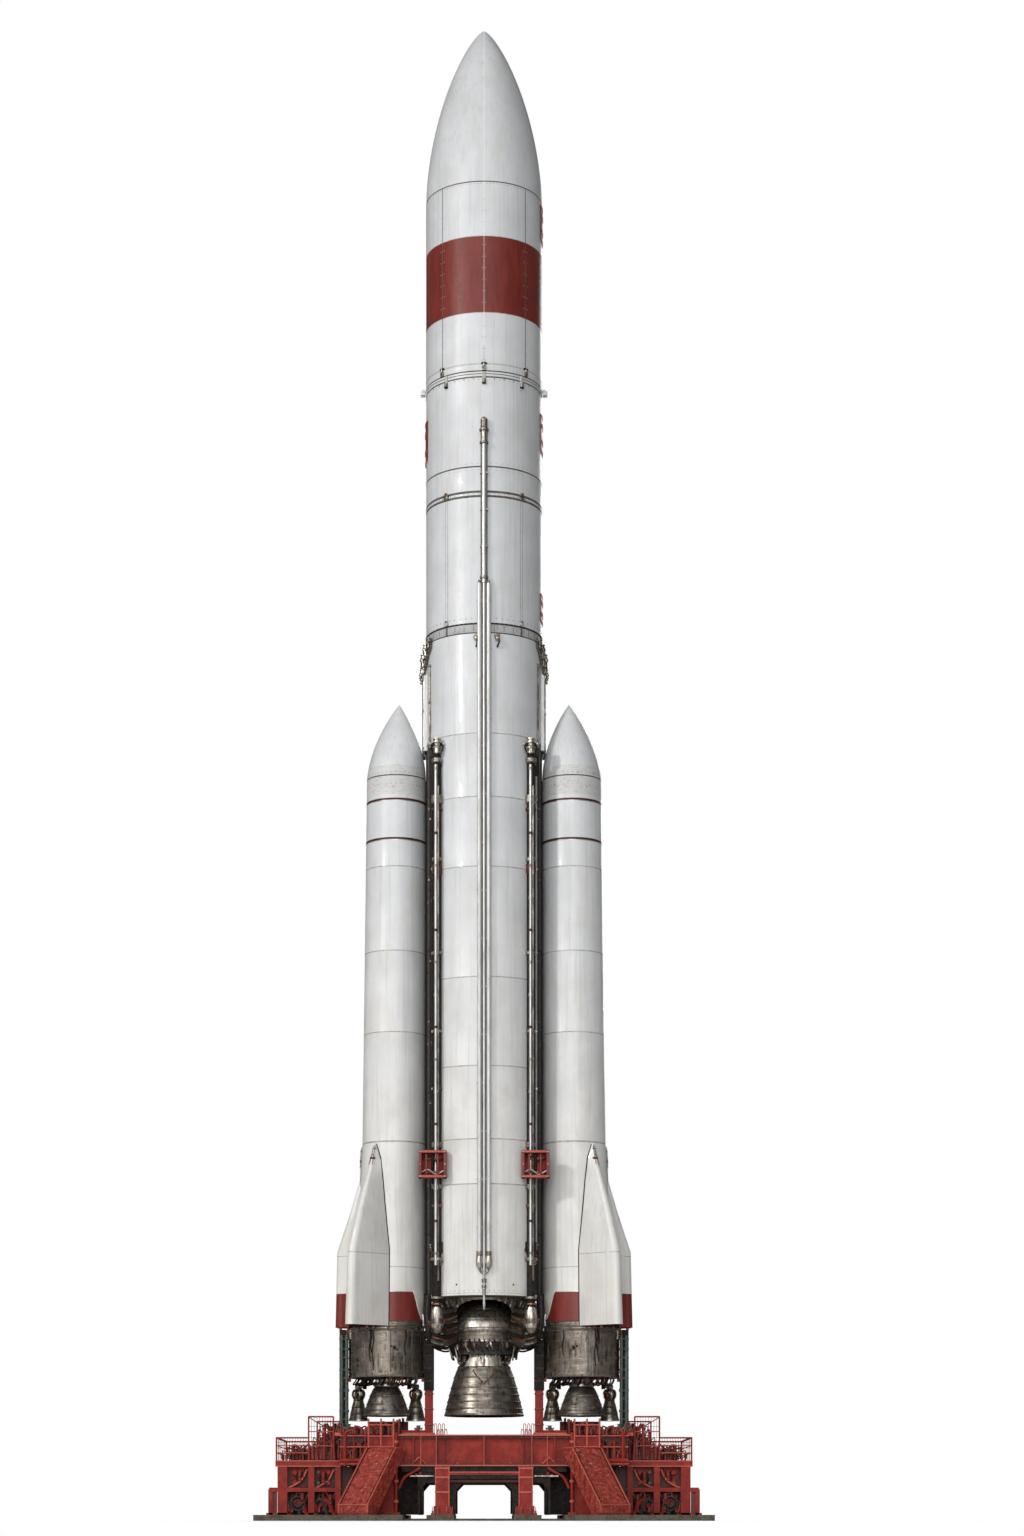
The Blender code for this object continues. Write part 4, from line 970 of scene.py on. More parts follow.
@dataclass
class UpperStage:
    """Upper stage, the ring that the fairing closes on, and the adapter inside it."""

    radius: float = 1.125
    foot_z: float = 17.13
    top_z: float = 21.86
    ring_z: Pair = (21.86, 21.96)
    fitting_angle: float = 39.5

    def build(self) -> None:
        """Builds the skin, its fittings, the base ring and the adapter."""
        self.skin()
        self.fittings()
        self.base_ring()
        self.adapter()

    def skin(self) -> None:
        """The painted skin with its ring joints and umbilical plates."""
        work = Workpiece("upper_stage_skin", Slot.WHITE, "upper_stage")
        r, top = self.radius, self.top_z
        profile = [(0, top - 0.0005), (r, top - 0.0005, SEAM), (r, top - 0.022, WHITE)]
        for height, tall in ((20.14, 0.014), (19.66, 0.022), (19.575, 0.022)):
            profile += [(r, height + tall, SEAM), (r + 0.004, height, SEAM),
                (r, height - tall, WHITE)]
        profile += [(r, self.foot_z + 0.028, SOOT_AND_SHADE), (r + 0.01, self.foot_z + 0.024, SOOT_AND_SHADE),
            (r + 0.01, self.foot_z + 0.003, SOOT_AND_SHADE), (0, self.foot_z + 0.003)]
        work.turned(profile, WHITE, 144)
        for angle, low, high in ((90, 20.75, 21.43), (90, 17.45, 17.95), (-90, 20.55, 21.3)):
            umbilical(work, angle, r, low, high)
        work.deliver(30.0)

    def fittings(self) -> None:
        """Rivets, double seams and the fittings on the ring joint."""
        work = Workpiece("upper_stage_fittings", Slot.ALLOY)
        r = self.radius
        for height, count, size in ((20.2, 60, 0.008), (20.08, 60, 0.008), (19.62, 72, 0.01),
                (21.8, 72, 0.009), (17.24, 60, 0.012)):
            work.rivets(ring_spots(r, height, count), size, SEAM, 0.004)
        angles = [quarter + way * self.fitting_angle for quarter in (0, 180) for way in (-1, 1)]
        for angle in angles:
            for shift in (-1.3, 1.3):
                with work.at(station(angle + shift, r, 0)):
                    work.block((-0.006, -0.002, 17.2), (0.006, 0.004, 19.56), WELD)
            with work.at(station(angle, r, 19.62)):
                work.block((-0.05, -0.04, -0.05), (0.05, 0.004, 0.05), ALLOY, 0.008)
                work.rod((-0.06, -0.03, 0.02), (0.06, -0.03, 0.02), 0.012, SOOT_AND_SHADE, 8)
                work.block((-0.02, -0.05, 0.03), (0.02, 0.002, 0.08), COPPER)
            with work.at(station(angle, r, self.foot_z)):
                work.block((-0.045, -0.035, 0.03), (0.045, 0.004, 0.09), GREY, 0.006)
                work.block((-0.02, -0.04, 0.09), (0.02, 0.004, 0.12), ALLOY)
        for angle in (*angles, 0, 180):
            with work.at(station(angle, r, self.top_z)):
                work.block((-0.03, -0.03, -0.05), (0.03, 0.004, 0.09), GREY, 0.006)
                work.post(0, -0.02, -0.12, -0.05, 0.034, ALLOY, 12)
                work.post(0, -0.02, -0.14, -0.12, 0.04, SOOT_AND_SHADE, 12)
        work.deliver()

    def base_ring(self) -> None:
        """The bolted ring between stage and fairing, with the hinge cheeks and pins."""
        work = Workpiece("fairing_foot_ring", Slot.ALLOY, "fairing_base_ring")
        low, high = self.ring_z
        middle = (low + high) / 2
        work.turned([(0, high, SEAM), (1.122, high, SEAM), (1.13, high - 0.008, WHITE),
            (1.13, middle + 0.007, SEAM), (1.124, middle + 0.003), (1.124, middle - 0.003),
            (1.13, middle - 0.007, WHITE), (1.13, low + 0.005, WELD), (1.122, low), (0, low)], SEAM,
            128)
        work.rivets(ring_spots(1.126, middle - 0.09, 36), 0.012, SEAM, 0.006)
        for _ in work.mirrored():
            for _ in work.mirrored(1):
                work.block((1.14, 0.046, low + 0.03), (1.235, 0.076, 21.965), CONDUIT, 0.004)
            work.rod((1.2, -0.085, 21.955), (1.2, 0.085, 21.955), 0.012, TUBE, 12)
        work.deliver()

    def adapter(self) -> None:
        """The payload adapter: a ribbed cone with a clamp ring."""
        work = Workpiece("payload_cone", Slot.ALLOY, "payload_adapter")
        base, rise = self.ring_z[1] + 0.001, 0.74
        work.turned([(0, base + rise), (0.5, base + rise), (0.5, base + rise - 0.05),
            (0.47, base + rise - 0.06), (0.47, base + rise - 0.1), (0.9, base + 0.08),
            (0.95, base + 0.08), (0.95, base), (0, base)], ALLOY, 64)
        for step in range(24):
            work.rod(around(15 * step, 0.915, base + 0.07), around(15 * step, 0.49,
                base + rise - 0.09), 0.014, TUBE, 8)
        work.rivets(ring_spots(0.5, base + rise - 0.025, 36), 0.014, SEAM, 0.01)
        work.deliver()


@dataclass
class CoreStage:
    """Core stage below the junction: skin, junction band, side ducts and their hardware, and
    painted shade in the slots beside the boosters.
    """

    radius: float = 1.125
    foot_z: float = 4.3
    top_z: float = 16.97
    weld_z: tuple[float, ...] = (15.05, 13.84, 12.51, 10.4, 8.7, 7.3, 6.44)

    def build(self) -> None:
        """Builds the skin, the junction band, the ducts and the black panels of painted shade
        beside them.
        """
        self.skin()
        self.junction()
        for side in Side:
            self.duct(side)
            self.harness(side)

    def harness(self, side: Side) -> None:
        """Black panels, pipes and clips that fill the slots between the core and a booster: the
        panels are painted shade where the slots lie in shadow.

        Args:
            side: Which side.
        """
        work = Workpiece(f"side_harness_{side.label}", Slot.PIPE)
        work.flip.x = side.value
        low, high = 4.31, 14.94
        # A black strip along the booster's side and curved black panels on the core: painted shade
        # in the slot.
        work.loft([[(1.11, -0.03, z), (x, -0.03, z), (x, 0.03, z), (1.11, 0.03, z)] for x,
            z in ((1.149, 3.9), (1.1425, 7.3), (1.1335, 14.39))], RUBBER_AND_SHADE)
        corners = ((1.1, low), (1.1305, low), (1.1305, high), (1.1, high))
        for quarter in (1, -1):
            work.loft([[around(90 - quarter * (41.5 - 4.1 * step), *corner) for corner in corners]
                for step in range(11)], RUBBER_AND_SHADE)
            for number, away in enumerate((39.5, 36, 32, 28, 24.5, 21, 18)):
                turn, third = 90 - quarter * away, number % 3
                size = 0.014 + 0.006 * third
                foot, top = low + 0.05 * (number % 4), high + 0.03 - 0.21 * third
                work.rod(around(turn, 1.13, foot), around(turn, 1.13, top), size,
                    (SOOT_AND_SHADE, RUBBER_AND_SHADE, SEAM, SOOT_AND_SHADE)[number % 4], 8)
                for height in [5.1 + 1.37 * step + 0.21 * third for step in range(7)]:
                    work.rod(around(turn, 1.132, height), around(turn, 1.132, height + 0.03),
                        size + 0.008, (ALLOY, SOOT_AND_SHADE, COPPER)[(number + int(height)) % 3], 8)
        work.deliver()

    def skin(self) -> None:
        """The painted skin with its weld lines and the rim at its foot."""
        work = Workpiece("core_stage_skin", Slot.WHITE, "core_stage")
        r, top = self.radius, self.top_z
        profile = [(0, top - 0.003), (r + 0.003, top - 0.003, SOOT_AND_SHADE), (r + 0.003, top - 0.016,
            WHITE)]
        for height in self.weld_z:
            profile += [(r, height + 0.011, WELD), (r + 0.002, height, WELD),
                (r, height - 0.011, WHITE)]
        profile += [(r, self.foot_z + 0.06, WELD), (r + 0.006, self.foot_z + 0.05, WHITE),
            (r + 0.006, self.foot_z + 0.014, SEAM), (r - 0.004, self.foot_z, SEAM),
            (0, self.foot_z)]
        work.turned(profile, WHITE, 144)
        for turn in (38, -38, 142, -142):
            work.rivets(column_spots(turn, r, 4.5, 6.3, 0.3), 0.01, WELD, 0.004)
        work.rivets(ring_spots(r, self.foot_z + 0.1, 72), 0.01, SEAM, 0.004)
        for height in (15.12, 12.58, 7.37):
            work.rivets(ring_spots(r, height, 60), 0.008, WELD, 0.004)
        for angle, height in ((-28, 4.52), (30, 4.52), (-52, 4.6), (52, 4.6)):
            work.rivets([station(angle, r, height)], 0.022, SOOT_AND_SHADE, 0.008)
        work.deliver(30.0)

    def junction(self) -> None:
        """The recessed band that joins the stages, with its catches and hooks."""
        work = Workpiece("stage_junction_band", Slot.ALLOY, "stage_junction_ring")
        low, high = self.top_z + 0.001, 17.129
        work.turned([(0, high), (1.118, high, GREY), (1.118, low + 0.008, SEAM), (1.112, low),
            (0, low)], GREY, 144)
        for spot in ring_spots(1.118, (low + high) / 2, 36):
            with work.at(spot):
                work.block((-0.004, -0.004, -0.06), (0.004, 0.004, 0.06), SEAM)
        work.rivets(ring_spots(1.135, high + 0.014, 72), 0.011, ALLOY, 0.006)
        for quarter in (0, 180):
            for turn in (-7.5, 12.5):
                with work.at(station(quarter + turn, 1.125, 16.88)):
                    work.block((-0.05, -0.05, -0.02), (0.05, 0.004, 0.07), ALLOY, 0.006)
                    work.ball((0, -0.06, -0.03), 0.05, STEEL)
                    work.hose([(0, -0.05, 0.0), (0.03, -0.075, -0.09), (0.0, -0.02, -0.19)], 0.018,
                        SOOT_AND_SHADE)
            for turn in (-39.5, 39.5):
                with work.at(station(quarter + turn, 1.118, 17.05)):
                    work.block((-0.015, -0.02, -0.07), (0.015, 0.004, 0.07), ALLOY)
        work.deliver()

    def duct(self, side: Side) -> None:
        """The ducts down one side, with the couplings at their tops.

        Args:
            side: Which side.
        """
        sign = side.value
        work = Workpiece(f"side_duct_{side.label}", Slot.PIPE)
        for angle, low, high, size in ((90, 14.95, 16.45, 0.034), (83.5, 14.95, 16.5, 0.026),
                (96.5, 14.95, 16.5, 0.026), (66, 15.05, 16.55, 0.02), (114, 15.05, 16.55, 0.02)):
            out = -0.04 if abs(angle - 90) < 10 else -0.014
            with work.at(station(sign * angle, 1.13, 0)):
                work.post(0, out, low, high, size, TUBE if size > 0.025 else PIPE, 12)
                for z in (low + 0.05, (low + high) / 2, high - 0.05):
                    work.block((-size * 1.5, out - size * 1.1, z - 0.02),
                        (size * 1.5, 0.002, z + 0.02), ALLOY)
        for angle, height, size in ((64, 16.93, 0.13), (70, 16.82, 0.15), (77, 16.66, 0.16),
                (85, 16.42, 0.15), (95, 16.42, 0.15), (103, 16.66, 0.16), (110, 16.82, 0.15),
                (116, 16.93, 0.13), (86, 14.9, 0.09), (94, 14.9, 0.09), (70, 14.98, 0.06)):
            work.valve(station(sign * angle, 1.125, height), size * 0.72,
                STEEL if size > 0.145 else ALLOY, SOOT_AND_SHADE)
        for start, end in ((62, 72), (72, 80), (80, 89), (118, 108), (108, 100)):
            foot = 16.86 - abs(start - (62 if start < 90 else 118)) * 0.022
            work.pipe([around(sign * (start + (end - start) * step / 4), 1.17,
                foot - 0.05 * step) for step in range(5)], 0.022, SEAM, 8)
        work.deliver()


@dataclass
class Raceway:
    """Cable raceway down the front of the core."""

    skin: float = 1.125
    top_z: float = 21.06
    split_z: float = 17.9
    middle_y: float = -1.178
    outer_x: float = 0.09

    def build(self) -> None:
        """Builds the single tube above and the three tubes below."""
        self.upper()
        self.lower()

    def upper(self) -> None:
        """The single tube, its cap, flanges and clips."""
        work = Workpiece("raceway_upper_tube", Slot.PIPE, "cable_raceway_upper")
        y, top = self.middle_y, self.top_z
        work.post(0, y, self.split_z, top - 0.2, 0.047, TUBE, 20)
        work.block((-0.066, y + 0.012, self.split_z), (0.066, -self.skin + 0.012, top - 0.22), SEAM)
        for low, high, size, end, finish in ((top - 0.2, top - 0.04, 0.068, 0.068, ALLOY),
                (20.8, 20.83, 0.092, 0.092, ALLOY), (20.56, 20.59, 0.086, 0.086, ALLOY),
                (17.98, 18.03, 0.08, 0.08, ALLOY), (top - 0.04, top, 0.068, 0.035, ALLOY),
                (20.59, 20.8, 0.055, 0.055, STEEL)):
            work.post(0, y, low, high, size, finish, 16, end)
        for z in (18.6, 19.3, 20.0):
            work.block((-0.075, y - 0.03, z - 0.015), (0.075, -self.skin + 0.01, z + 0.015), ALLOY)
        work.deliver()

    def lower(self) -> None:
        """The three tubes with their clips, ending in bulbs and ring clamps."""
        work = Workpiece("raceway_lower_tubes", Slot.PIPE, "cable_raceway_lower")
        y, x, wall, split, foot = self.middle_y, self.outer_x, 0.01 - self.skin, self.split_z, 5.12
        for _ in work.mirrored():
            for low, high, size, end, finish, sides in ((foot, split - 0.01, 0.043, 0.043, CONDUIT,
                    20), (split - 0.02, split + 0.05, 0.036, 0.02, ALLOY, 16),
                    (5.05, 5.14, 0.058, 0.058, ALLOY, 16), (4.93, 5.05, 0.072, 0.06, STEEL, 16),
                    (4.83, 4.93, 0.05, 0.072, STEEL, 16)):
                work.post(x, y, low, high, size, finish, sides, end)
            work.hose([(x, y, 4.86), (x * 0.9, y, 4.78), (0.02, y, 4.72)], 0.022, ALLOY, 8)
        for along, out, low, high, size, end, finish, sides in ((0, 0, 4.7, split, 0.03, 0.03, TUBE,
                16), (0.028, 0.03, foot, split, 0.014, 0.014, BROWN_AND_SHADE, 8),
                (-0.03, 0.03, foot, split, 0.012, 0.012, SEAM, 8), (0, 0.01, 4.55, 4.62, 0.05, 0.05,
                ALLOY, 14), (0, 0.01, 4.44, 4.5, 0.042, 0.042, ALLOY, 14),
                (0, 0.01, 4.3, 4.42, 0.032, 0.032, ALLOY, 14), (0, 0.01, 4.1, 4.72, 0.026, 0.026,
                TUBE, 12), (0, 0.01, 4.02, 4.12, 0.012, 0.03, TUBE, 10)):
            work.post(along, y + out, low, high, size, finish, sides, end)
        work.block((-0.12, y + 0.02, foot), (0.12, wall + 0.002, split), SEAM)
        for height in [5.6 + 0.92 * step for step in range(14)]:
            work.block((-0.137, y - 0.01, height - 0.012), (0.137, wall, height + 0.012), ALLOY)
        work.block((-0.05, y + 0.01, 4.44), (0.05, wall, 4.5), ALLOY)
        work.deliver()


@dataclass
class FeedLine:
    """A feed line between core and booster, with the red bracket that it passes."""

    side: Side
    end: End
    radius: float = 0.079
    angle: float = 41.5
    distance: float = 1.204
    top_z: float = 15.05
    foot_z: float = 3.55

    def build(self) -> None:
        """Builds the pipe with what is fitted to it, and the bracket."""
        label = f"{self.side.label}_{self.end.label}"
        self.line(label)
        self.bracket(label)

    def line(self, label: str) -> None:
        """The pipe and all that is fitted along it.

        Args:
            label: Side and end, for the names.
        """
        work = Workpiece(f"feed_pipe_{label}", Slot.PIPE, f"feed_line_{label}")
        side, end, r, turn = self.side.value, self.end.value, self.radius, math.radians(self.angle)
        spot = Vector((side * self.distance * math.cos(turn), end * self.distance * math.sin(turn),
            0))
        work.frame = Matrix.Translation(spot) @ facing(end)
        profile: Profile = [(0, 14.72), (r * 0.8, 14.72)]
        # Height, half length, radius and finish of each flange and coupling
        for height, half, size, finish in ((14.6, 0.05, 0.105, ALLOY), (13.86, 0.09, 0.115, ALLOY),
                (13.66, 0.03, 0.105, BROWN_AND_SHADE), (12.7, 0.04, 0.1, ALLOY), (12.52, 0.1, 0.098, BROWN_AND_SHADE),
                (10.9, 0.035, 0.1, ALLOY), (9.4, 0.03, 0.092, ALLOY), (8.3, 0.03, 0.092, BROWN_AND_SHADE),
                (7.22, 0.06, 0.105, ALLOY), (6.42, 0.05, 0.105, ALLOY), (6.05, 0.03, 0.1, COPPER),
                (5.25, 0.13, 0.112, SOOT_AND_SHADE), (5.02, 0.04, 0.125, ALLOY), (4.28, 0.03, 0.122, ALLOY),
                (4.16, 0.02, 0.105, COPPER)):
            profile += [(r, height + half), (size, height + half * 0.7, finish),
                (size, height - half * 0.7, finish), (r, height - half)]
        profile += [(r, 4.1, STEEL), (0.118, 4.02, STEEL), (0.128, 3.88, PIPE),
            (0.128, 3.78, STEEL), (0.115, 3.7, PIPE), (0.07, 3.6), (0.05, self.foot_z),
            (0, self.foot_z)]
        work.turned(profile, SOOT_AND_SHADE, 24)
        lead = end * (0.025 if self.side is Side.LEFT else 0.01)
        for x, y, low, high, size, finish, sides in ((lead, -0.1, 4.9, 14.5, 0.029, TUBE, 12),
                (lead + 0.05, -0.095, 4.6, 14.1, 0.015, PIPE, 8), (0.1, 0.03, 5.2, 14.3, 0.018,
                TUBE, 8), (-0.09, 0.05, 4.2, 13.9, 0.014, SOOT_AND_SHADE, 8)):
            work.post(x, y, low, high, size, finish, sides)
        for step in range(16):
            z = 5.1 + 0.62 * step
            work.post(lead, -0.1, z, z + 0.05, 0.038, (ALLOY, BROWN_AND_SHADE, TUBE)[step % 3], 12)
        work.blocks(ALLOY, *((-0.11, 0.125, 0.0, 0.06, z - 0.02, z + 0.02) for z in (6.9, 8.3, 9.4,
            10.9, 12.52, 13.86)))
        for shift, z, size in ((0.0, 14.86, 0.17), (0.03, 14.5, 0.08), (-0.05, 5.22, 0.1),
                (0.05, 4.98, 0.08), (0.0, 3.98, 0.11), (0.09, 3.84, 0.08), (-0.1, 3.8, 0.08),
                (0.0, 3.68, 0.09)):
            work.valve(Matrix.Translation((shift, 0.03, z)), size * 0.85,
                STEEL if z > 4.5 else PIPE, COPPER if z < 5.5 else SOOT_AND_SHADE)
        for _ in work.mirrored():
            work.hose([(0.08, 0, 3.75), (0.16, 0.02, 3.66), (0.12, 0.1, 3.5), (0.05, 0.2, 3.62)],
                0.026, SOOT_AND_SHADE, 8)
        work.flip.x = -side * end
        for x, finish in ((0.15, SOOT_AND_SHADE), (0.19, RUBBER_AND_SHADE), (0.225, SOOT_AND_SHADE)):
            work.hose([(x, 0.25, 4.34), (x + 0.01, 0.24, 3.95), (x - 0.03, 0.22, 3.5)], 0.026,
                finish, 8)
        for number in range(22):
            rise, third = 3.42 + 0.034 * number, number % 3
            work.hose([(0.1, 0.1, rise), (0.0, 0.02 + 0.02 * third, rise - 0.05),
                (-0.18, 0.12, rise - 0.09 + 0.04 * (number % 2)), (-0.36, 0.34, rise)],
                0.02 + 0.01 * third, (SOOT_AND_SHADE, PIPE, RUBBER_AND_SHADE, SOOT_AND_SHADE, COPPER, SOOT_AND_SHADE)[number % 6])
        work.deliver()

    def bracket(self, label: str) -> None:
        """The red attach bracket: an open box with plates, stiffeners and bolts.

        Args:
            label: Side and end, for the names.
        """
        work = Workpiece(f"attach_frame_{label}", Slot.RED, f"attach_bracket_{label}")
        work.flip.y = self.end.value
        slabs = functools.partial(work.blocks, bevel=0.004)
        sign = self.side.value
        near, far = sorted((sign * 0.72, sign * 1.25))
        middle, edge, low, high, face = (near + far) / 2, 0.055, 6.56, 7.09, 1.06
        for z0, z1 in ((low, low + edge), (high - edge, high)):
            slabs(BAND_RED, (near, far, 0.88, face, z0, z1))
            slabs(RED_HIGHLIGHT, (near + 0.004, far - 0.004, face - 0.004, face + 0.003, z0 + 0.01,
                z1 - 0.01))
        for z0, z1 in ((low + 0.004, low + 0.05), (high - 0.05, high - 0.004)):
            slabs(BAND_RED, (sign * 0.8, sign * 1.16, 0.8, 0.9, z0, z1))
        slabs(BAND_RED, (near, near + edge, 0.88, face, low, high), (far - edge, far, 0.88, face,
            low, high), *((middle + x - 0.015, middle + x + 0.015, 0.86, 1.02, low + edge,
            high - edge) for x in (-0.12, 0.1)))
        slabs(RED, (near + 0.02, far - 0.02, 0.84, 0.9, low + 0.02, high - 0.02))
        for z, finish in ((low + 0.12, TUBE), (high - 0.15, SOOT_AND_SHADE)):
            slabs(BAND_RED, (near + edge, far - edge, 0.9, 0.96, z - 0.02, z + 0.02))
            work.hose([(near + edge, 0.985, z), (middle - 0.08, 1.005, z + 0.04),
                (middle + 0.06, 0.985, z - 0.05), (far - edge, 0.985, z + 0.02)], 0.014, finish, 8)
        for x in (near + 0.028, far - 0.028):
            for z in (low + 0.03, high - 0.03, (low + high) / 2):
                work.rod((x, face, z), (x, face + 0.012, z), 0.016, ALLOY, 6)
        work.rod((middle, 0.86, low + 0.06), (middle, 0.98, high - 0.06), 0.03, SOOT_AND_SHADE, 10)
        work.deliver()


@dataclass
class CoreEngine:
    """Thrust cone, domed powerhead and the gimballed engine below it."""

    cone: Four = (0.86, 4.299, 0.64, 3.8)
    head_z: Pair = (3.45, 3.7997)
    gimbal_z: float = 3.32
    top_z: float = 2.98
    exit_z: float = 2.03
    top_r: float = 0.506
    exit_r: float = 0.777

    def build(self) -> None:
        """Builds the cone's truss, the powerhead, the gimbal ring and the engine."""
        self.thrust_cone()
        self.powerhead()
        self.gimbal()
        self.nozzle()
        self.pipework()

    def thrust_cone(self) -> None:
        """The cone, with a wide arch in front, and its ribs and rods."""
        work = Workpiece("thrust_cone_shell", Slot.SCORCHED, "thrust_cone")
        top_r, top_z, low_r, low_z = self.cone
        sections = []
        for turn in range(0, 360, 4):
            height = low_z + self.arch(turn)
            radius = low_r + (top_r - low_r) * (height - low_z) / (top_z - low_z)
            sections.append([around(turn, r, z) for r, z in ((top_r, top_z), (radius, height),
                (radius - 0.02, height), (top_r - 0.03, top_z))])
        work.loft(sections, OLIVE, ring=True)
        for number, turn in enumerate(range(0, 360, 10)):
            height = low_z + self.arch(turn) + 0.02
            radius = low_r + (top_r - low_r) * (height - low_z) / (top_z - low_z)
            start, end = around(turn, top_r, top_z - 0.01), around(turn, radius + 0.008, height)
            work.rod(start, end, 0.012 + 0.006 * (number % 2), (STEEL, ALLOY, SOOT_AND_SHADE)[number % 3], 8)
            work.rod(around(turn, radius, height - 0.03), around(turn, radius + 0.004,
                height + 0.02), 0.03, ALLOY, 10)
        work.turned([(top_r, top_z - 0.005), (top_r + 0.012, top_z - 0.01),
            (top_r + 0.012, top_z - 0.05), (top_r - 0.02, top_z - 0.055)], SKIRT, 96)
        work.deliver()

    def arch(self, turn: float) -> float:
        """How far the cone's lower edge rises at an angle."""
        across = abs((turn + 180) % 360 - 180) / 57
        return 0.46 * math.sqrt(1 - across**2) if across < 1 else 0.0

    def powerhead(self) -> None:
        """The domed powerhead with its seams, flange and lugs."""
        work = Workpiece("powerhead_dome", Slot.SCORCHED, "core_powerhead")
        low, high = self.head_z
        rim = high - 0.11
        profile: Profile = [(0, high + 0.4)]
        for step in range(1, 17):
            turn = math.pi / 2 * (1 - step / 16)
            profile.append((0.6 * math.cos(turn), rim + 0.51 * math.sin(turn), STEEL))
            if step in (6, 11, 15):
                radius, height = profile[-1][:2]
                profile += [(radius + 0.006, height - 0.006, SEAM), (radius + 0.008, height - 0.02,
                    STEEL)]
        profile += [(0.64, rim, SKIRT), (0.64, rim - 0.035), (0.614, rim - 0.04),
            (0.614, low + 0.14, SEAM), (0.622, low + 0.135), (0.622, low + 0.125, SEAM),
            (0.614, low + 0.12), (0.614, low + 0.04, STEEL), (0.626, low + 0.035, STEEL),
            (0.626, low + 0.006, SOOT_AND_SHADE), (0.6, low, SOOT_AND_SHADE), (0, low)]
        work.turned(profile, SKIRT, 96)
        for number in range(40):
            turn, wide = 9 * number, 0.66 + 0.02 * (number % 4)
            foot = low - 0.2 + 0.03 * (number % 3) - 0.12 * (abs((turn + 90) % 180 - 90) > 45)
            work.hose([around(turn, 0.6, 3.5), around(turn + 2, wide, 3.41),
                around(turn + 5, wide - 0.03, low - 0.13), around(turn + 8, 0.625, foot)],
                0.015 + 0.007 * (number % 2), (SOOT_AND_SHADE, STEEL, SOOT_AND_SHADE, PIPE, RUBBER_AND_SHADE)[number % 5])
        work.turned([(0.604, 3.452), (0.612, 3.44), (0.606, 3.21), (0.597, 3.21), (0.595, 3.44)],
            RUBBER_AND_SHADE)
        for number in range(20):
            work.valve(station(18 * number + 5, 0.65, 3.39 - 0.04 * (number % 2)), 0.045,
                (ALLOY, SOOT_AND_SHADE, STEEL)[number % 3], COPPER)
        work.rivets(ring_spots(0.64, rim - 0.018, 48), 0.013, SEAM, 0.01)
        work.rivets(ring_spots(0.626, low + 0.02, 60), 0.012, COPPER, 0.012)
        for _ in work.mirrored():
            work.block((0.3, -0.05, self.gimbal_z - 0.05), (0.36, 0.05, low + 0.02), SKIRT, 0.004)
        work.deliver(35.0)

    def gimbal(self) -> None:
        """The cross-pinned ring between powerhead and engine."""
        work = Workpiece("gimbal_cross_ring", Slot.ALLOY, "gimbal_ring", body="gimbal")
        z = self.gimbal_z
        work.turned([(0.19, z + 0.03), (0.2, z + 0.035), (0.26, z + 0.035), (0.27, z + 0.028),
            (0.27, z - 0.028), (0.26, z - 0.035), (0.2, z - 0.035), (0.19, z - 0.03)], ALLOY, 48)
        for axis, way in enumerate((Vector((1, 0, 0)), Vector((0, 1, 0)))):
            for _ in work.mirrored(axis):
                work.rod(way * 0.24 + Vector((0, 0, z)), way * 0.35 + Vector((0, 0, z)), 0.025,
                    TUBE, 16)
        work.deliver()

    def nozzle(self) -> None:
        """The engine's plate, chamber and hooped bell, with its shield plates and braces."""
        work = Workpiece("core_engine_bell", Slot.SCORCHED, "core_nozzle", body="core_engine")
        r, top = self.top_r, self.top_z
        outer = bell(r, top, self.exit_r, self.exit_z, 14)
        radius, height = outer[-1]
        profile = [(0, 3.19), (0.3, 3.19), (0.3, 3.14), (0.24, 3.14, TUBE), (0.27, 3.1),
            (0.33, 3.04), (0.38, top + 0.03, BELL), (r - 0.01, top + 0.03), (r, top + 0.015),
            *hooped(outer, (3, 6, 8, 10, 12), 0.014, 0.008, 0.013), (radius - 0.008, height + 0.04,
            TUBE), (radius, height + 0.034), (radius, height + 0.004, SKIRT),
            (radius - 0.014, height, SOOT_AND_SHADE), *((wide - 0.02, z, SOOT_AND_SHADE) for wide, z in outer[-2:0:-1]),
            (r - 0.02, top - 0.03, SOOT_AND_SHADE), (0.16, top - 0.03, SOOT_AND_SHADE), (0.1, top + 0.02, SOOT_AND_SHADE),
            (0, top + 0.02, SOOT_AND_SHADE)]
        work.turned(profile, BELL, 96)
        for _ in work.mirrored(1):
            work.block((-0.05, 0.24, 3.14), (0.05, 0.36, 3.19), SKIRT)
            work.block((-0.05, 0.3, 3.15), (0.05, 0.36, self.gimbal_z + 0.05), SKIRT, 0.004)
        for turn in range(22, 360, 45):
            with work.at(station(turn, r + 0.005, top)):
                work.prism([(-0.09, 0.0), (0.09, 0.0), (0.0, -0.24)], -0.012, 0.02, SKIRT)
        for middle in (0, 180):
            foot = around(middle, 0.635, 2.655)
            for sign in (-1, 1):
                work.hose([around(middle + sign * 23, 0.553, 2.9), around(middle + sign * 12, 0.6,
                    2.77), foot], 0.014, COPPER, 6, 3)
            work.ball(foot, 0.026, COPPER, 1)
            work.loft([[around(middle + (step / 4 - 1) * angle, wide, z) for angle, wide,
                z in ((27, 0.512, 3.235), (44, 0.548, 2.985), (44, 0.538, 2.985),
                (27, 0.502, 3.235))] for step in range(9)], STEEL)
            work.rod(around(middle, 0.517, 3.235), around(middle, 0.553, 2.99), 0.014, SKIRT, 8)
            for number in range(10):
                turn = middle - 42 + 84 * number / 9
                work.rod(around(turn, 0.505, 3.12), around(turn + 3, 0.53,
                    3.26 - 0.03 * (number % 2)), 0.012, (SOOT_AND_SHADE, STEEL, PIPE)[number % 3], 6)
        work.deliver(35.0)

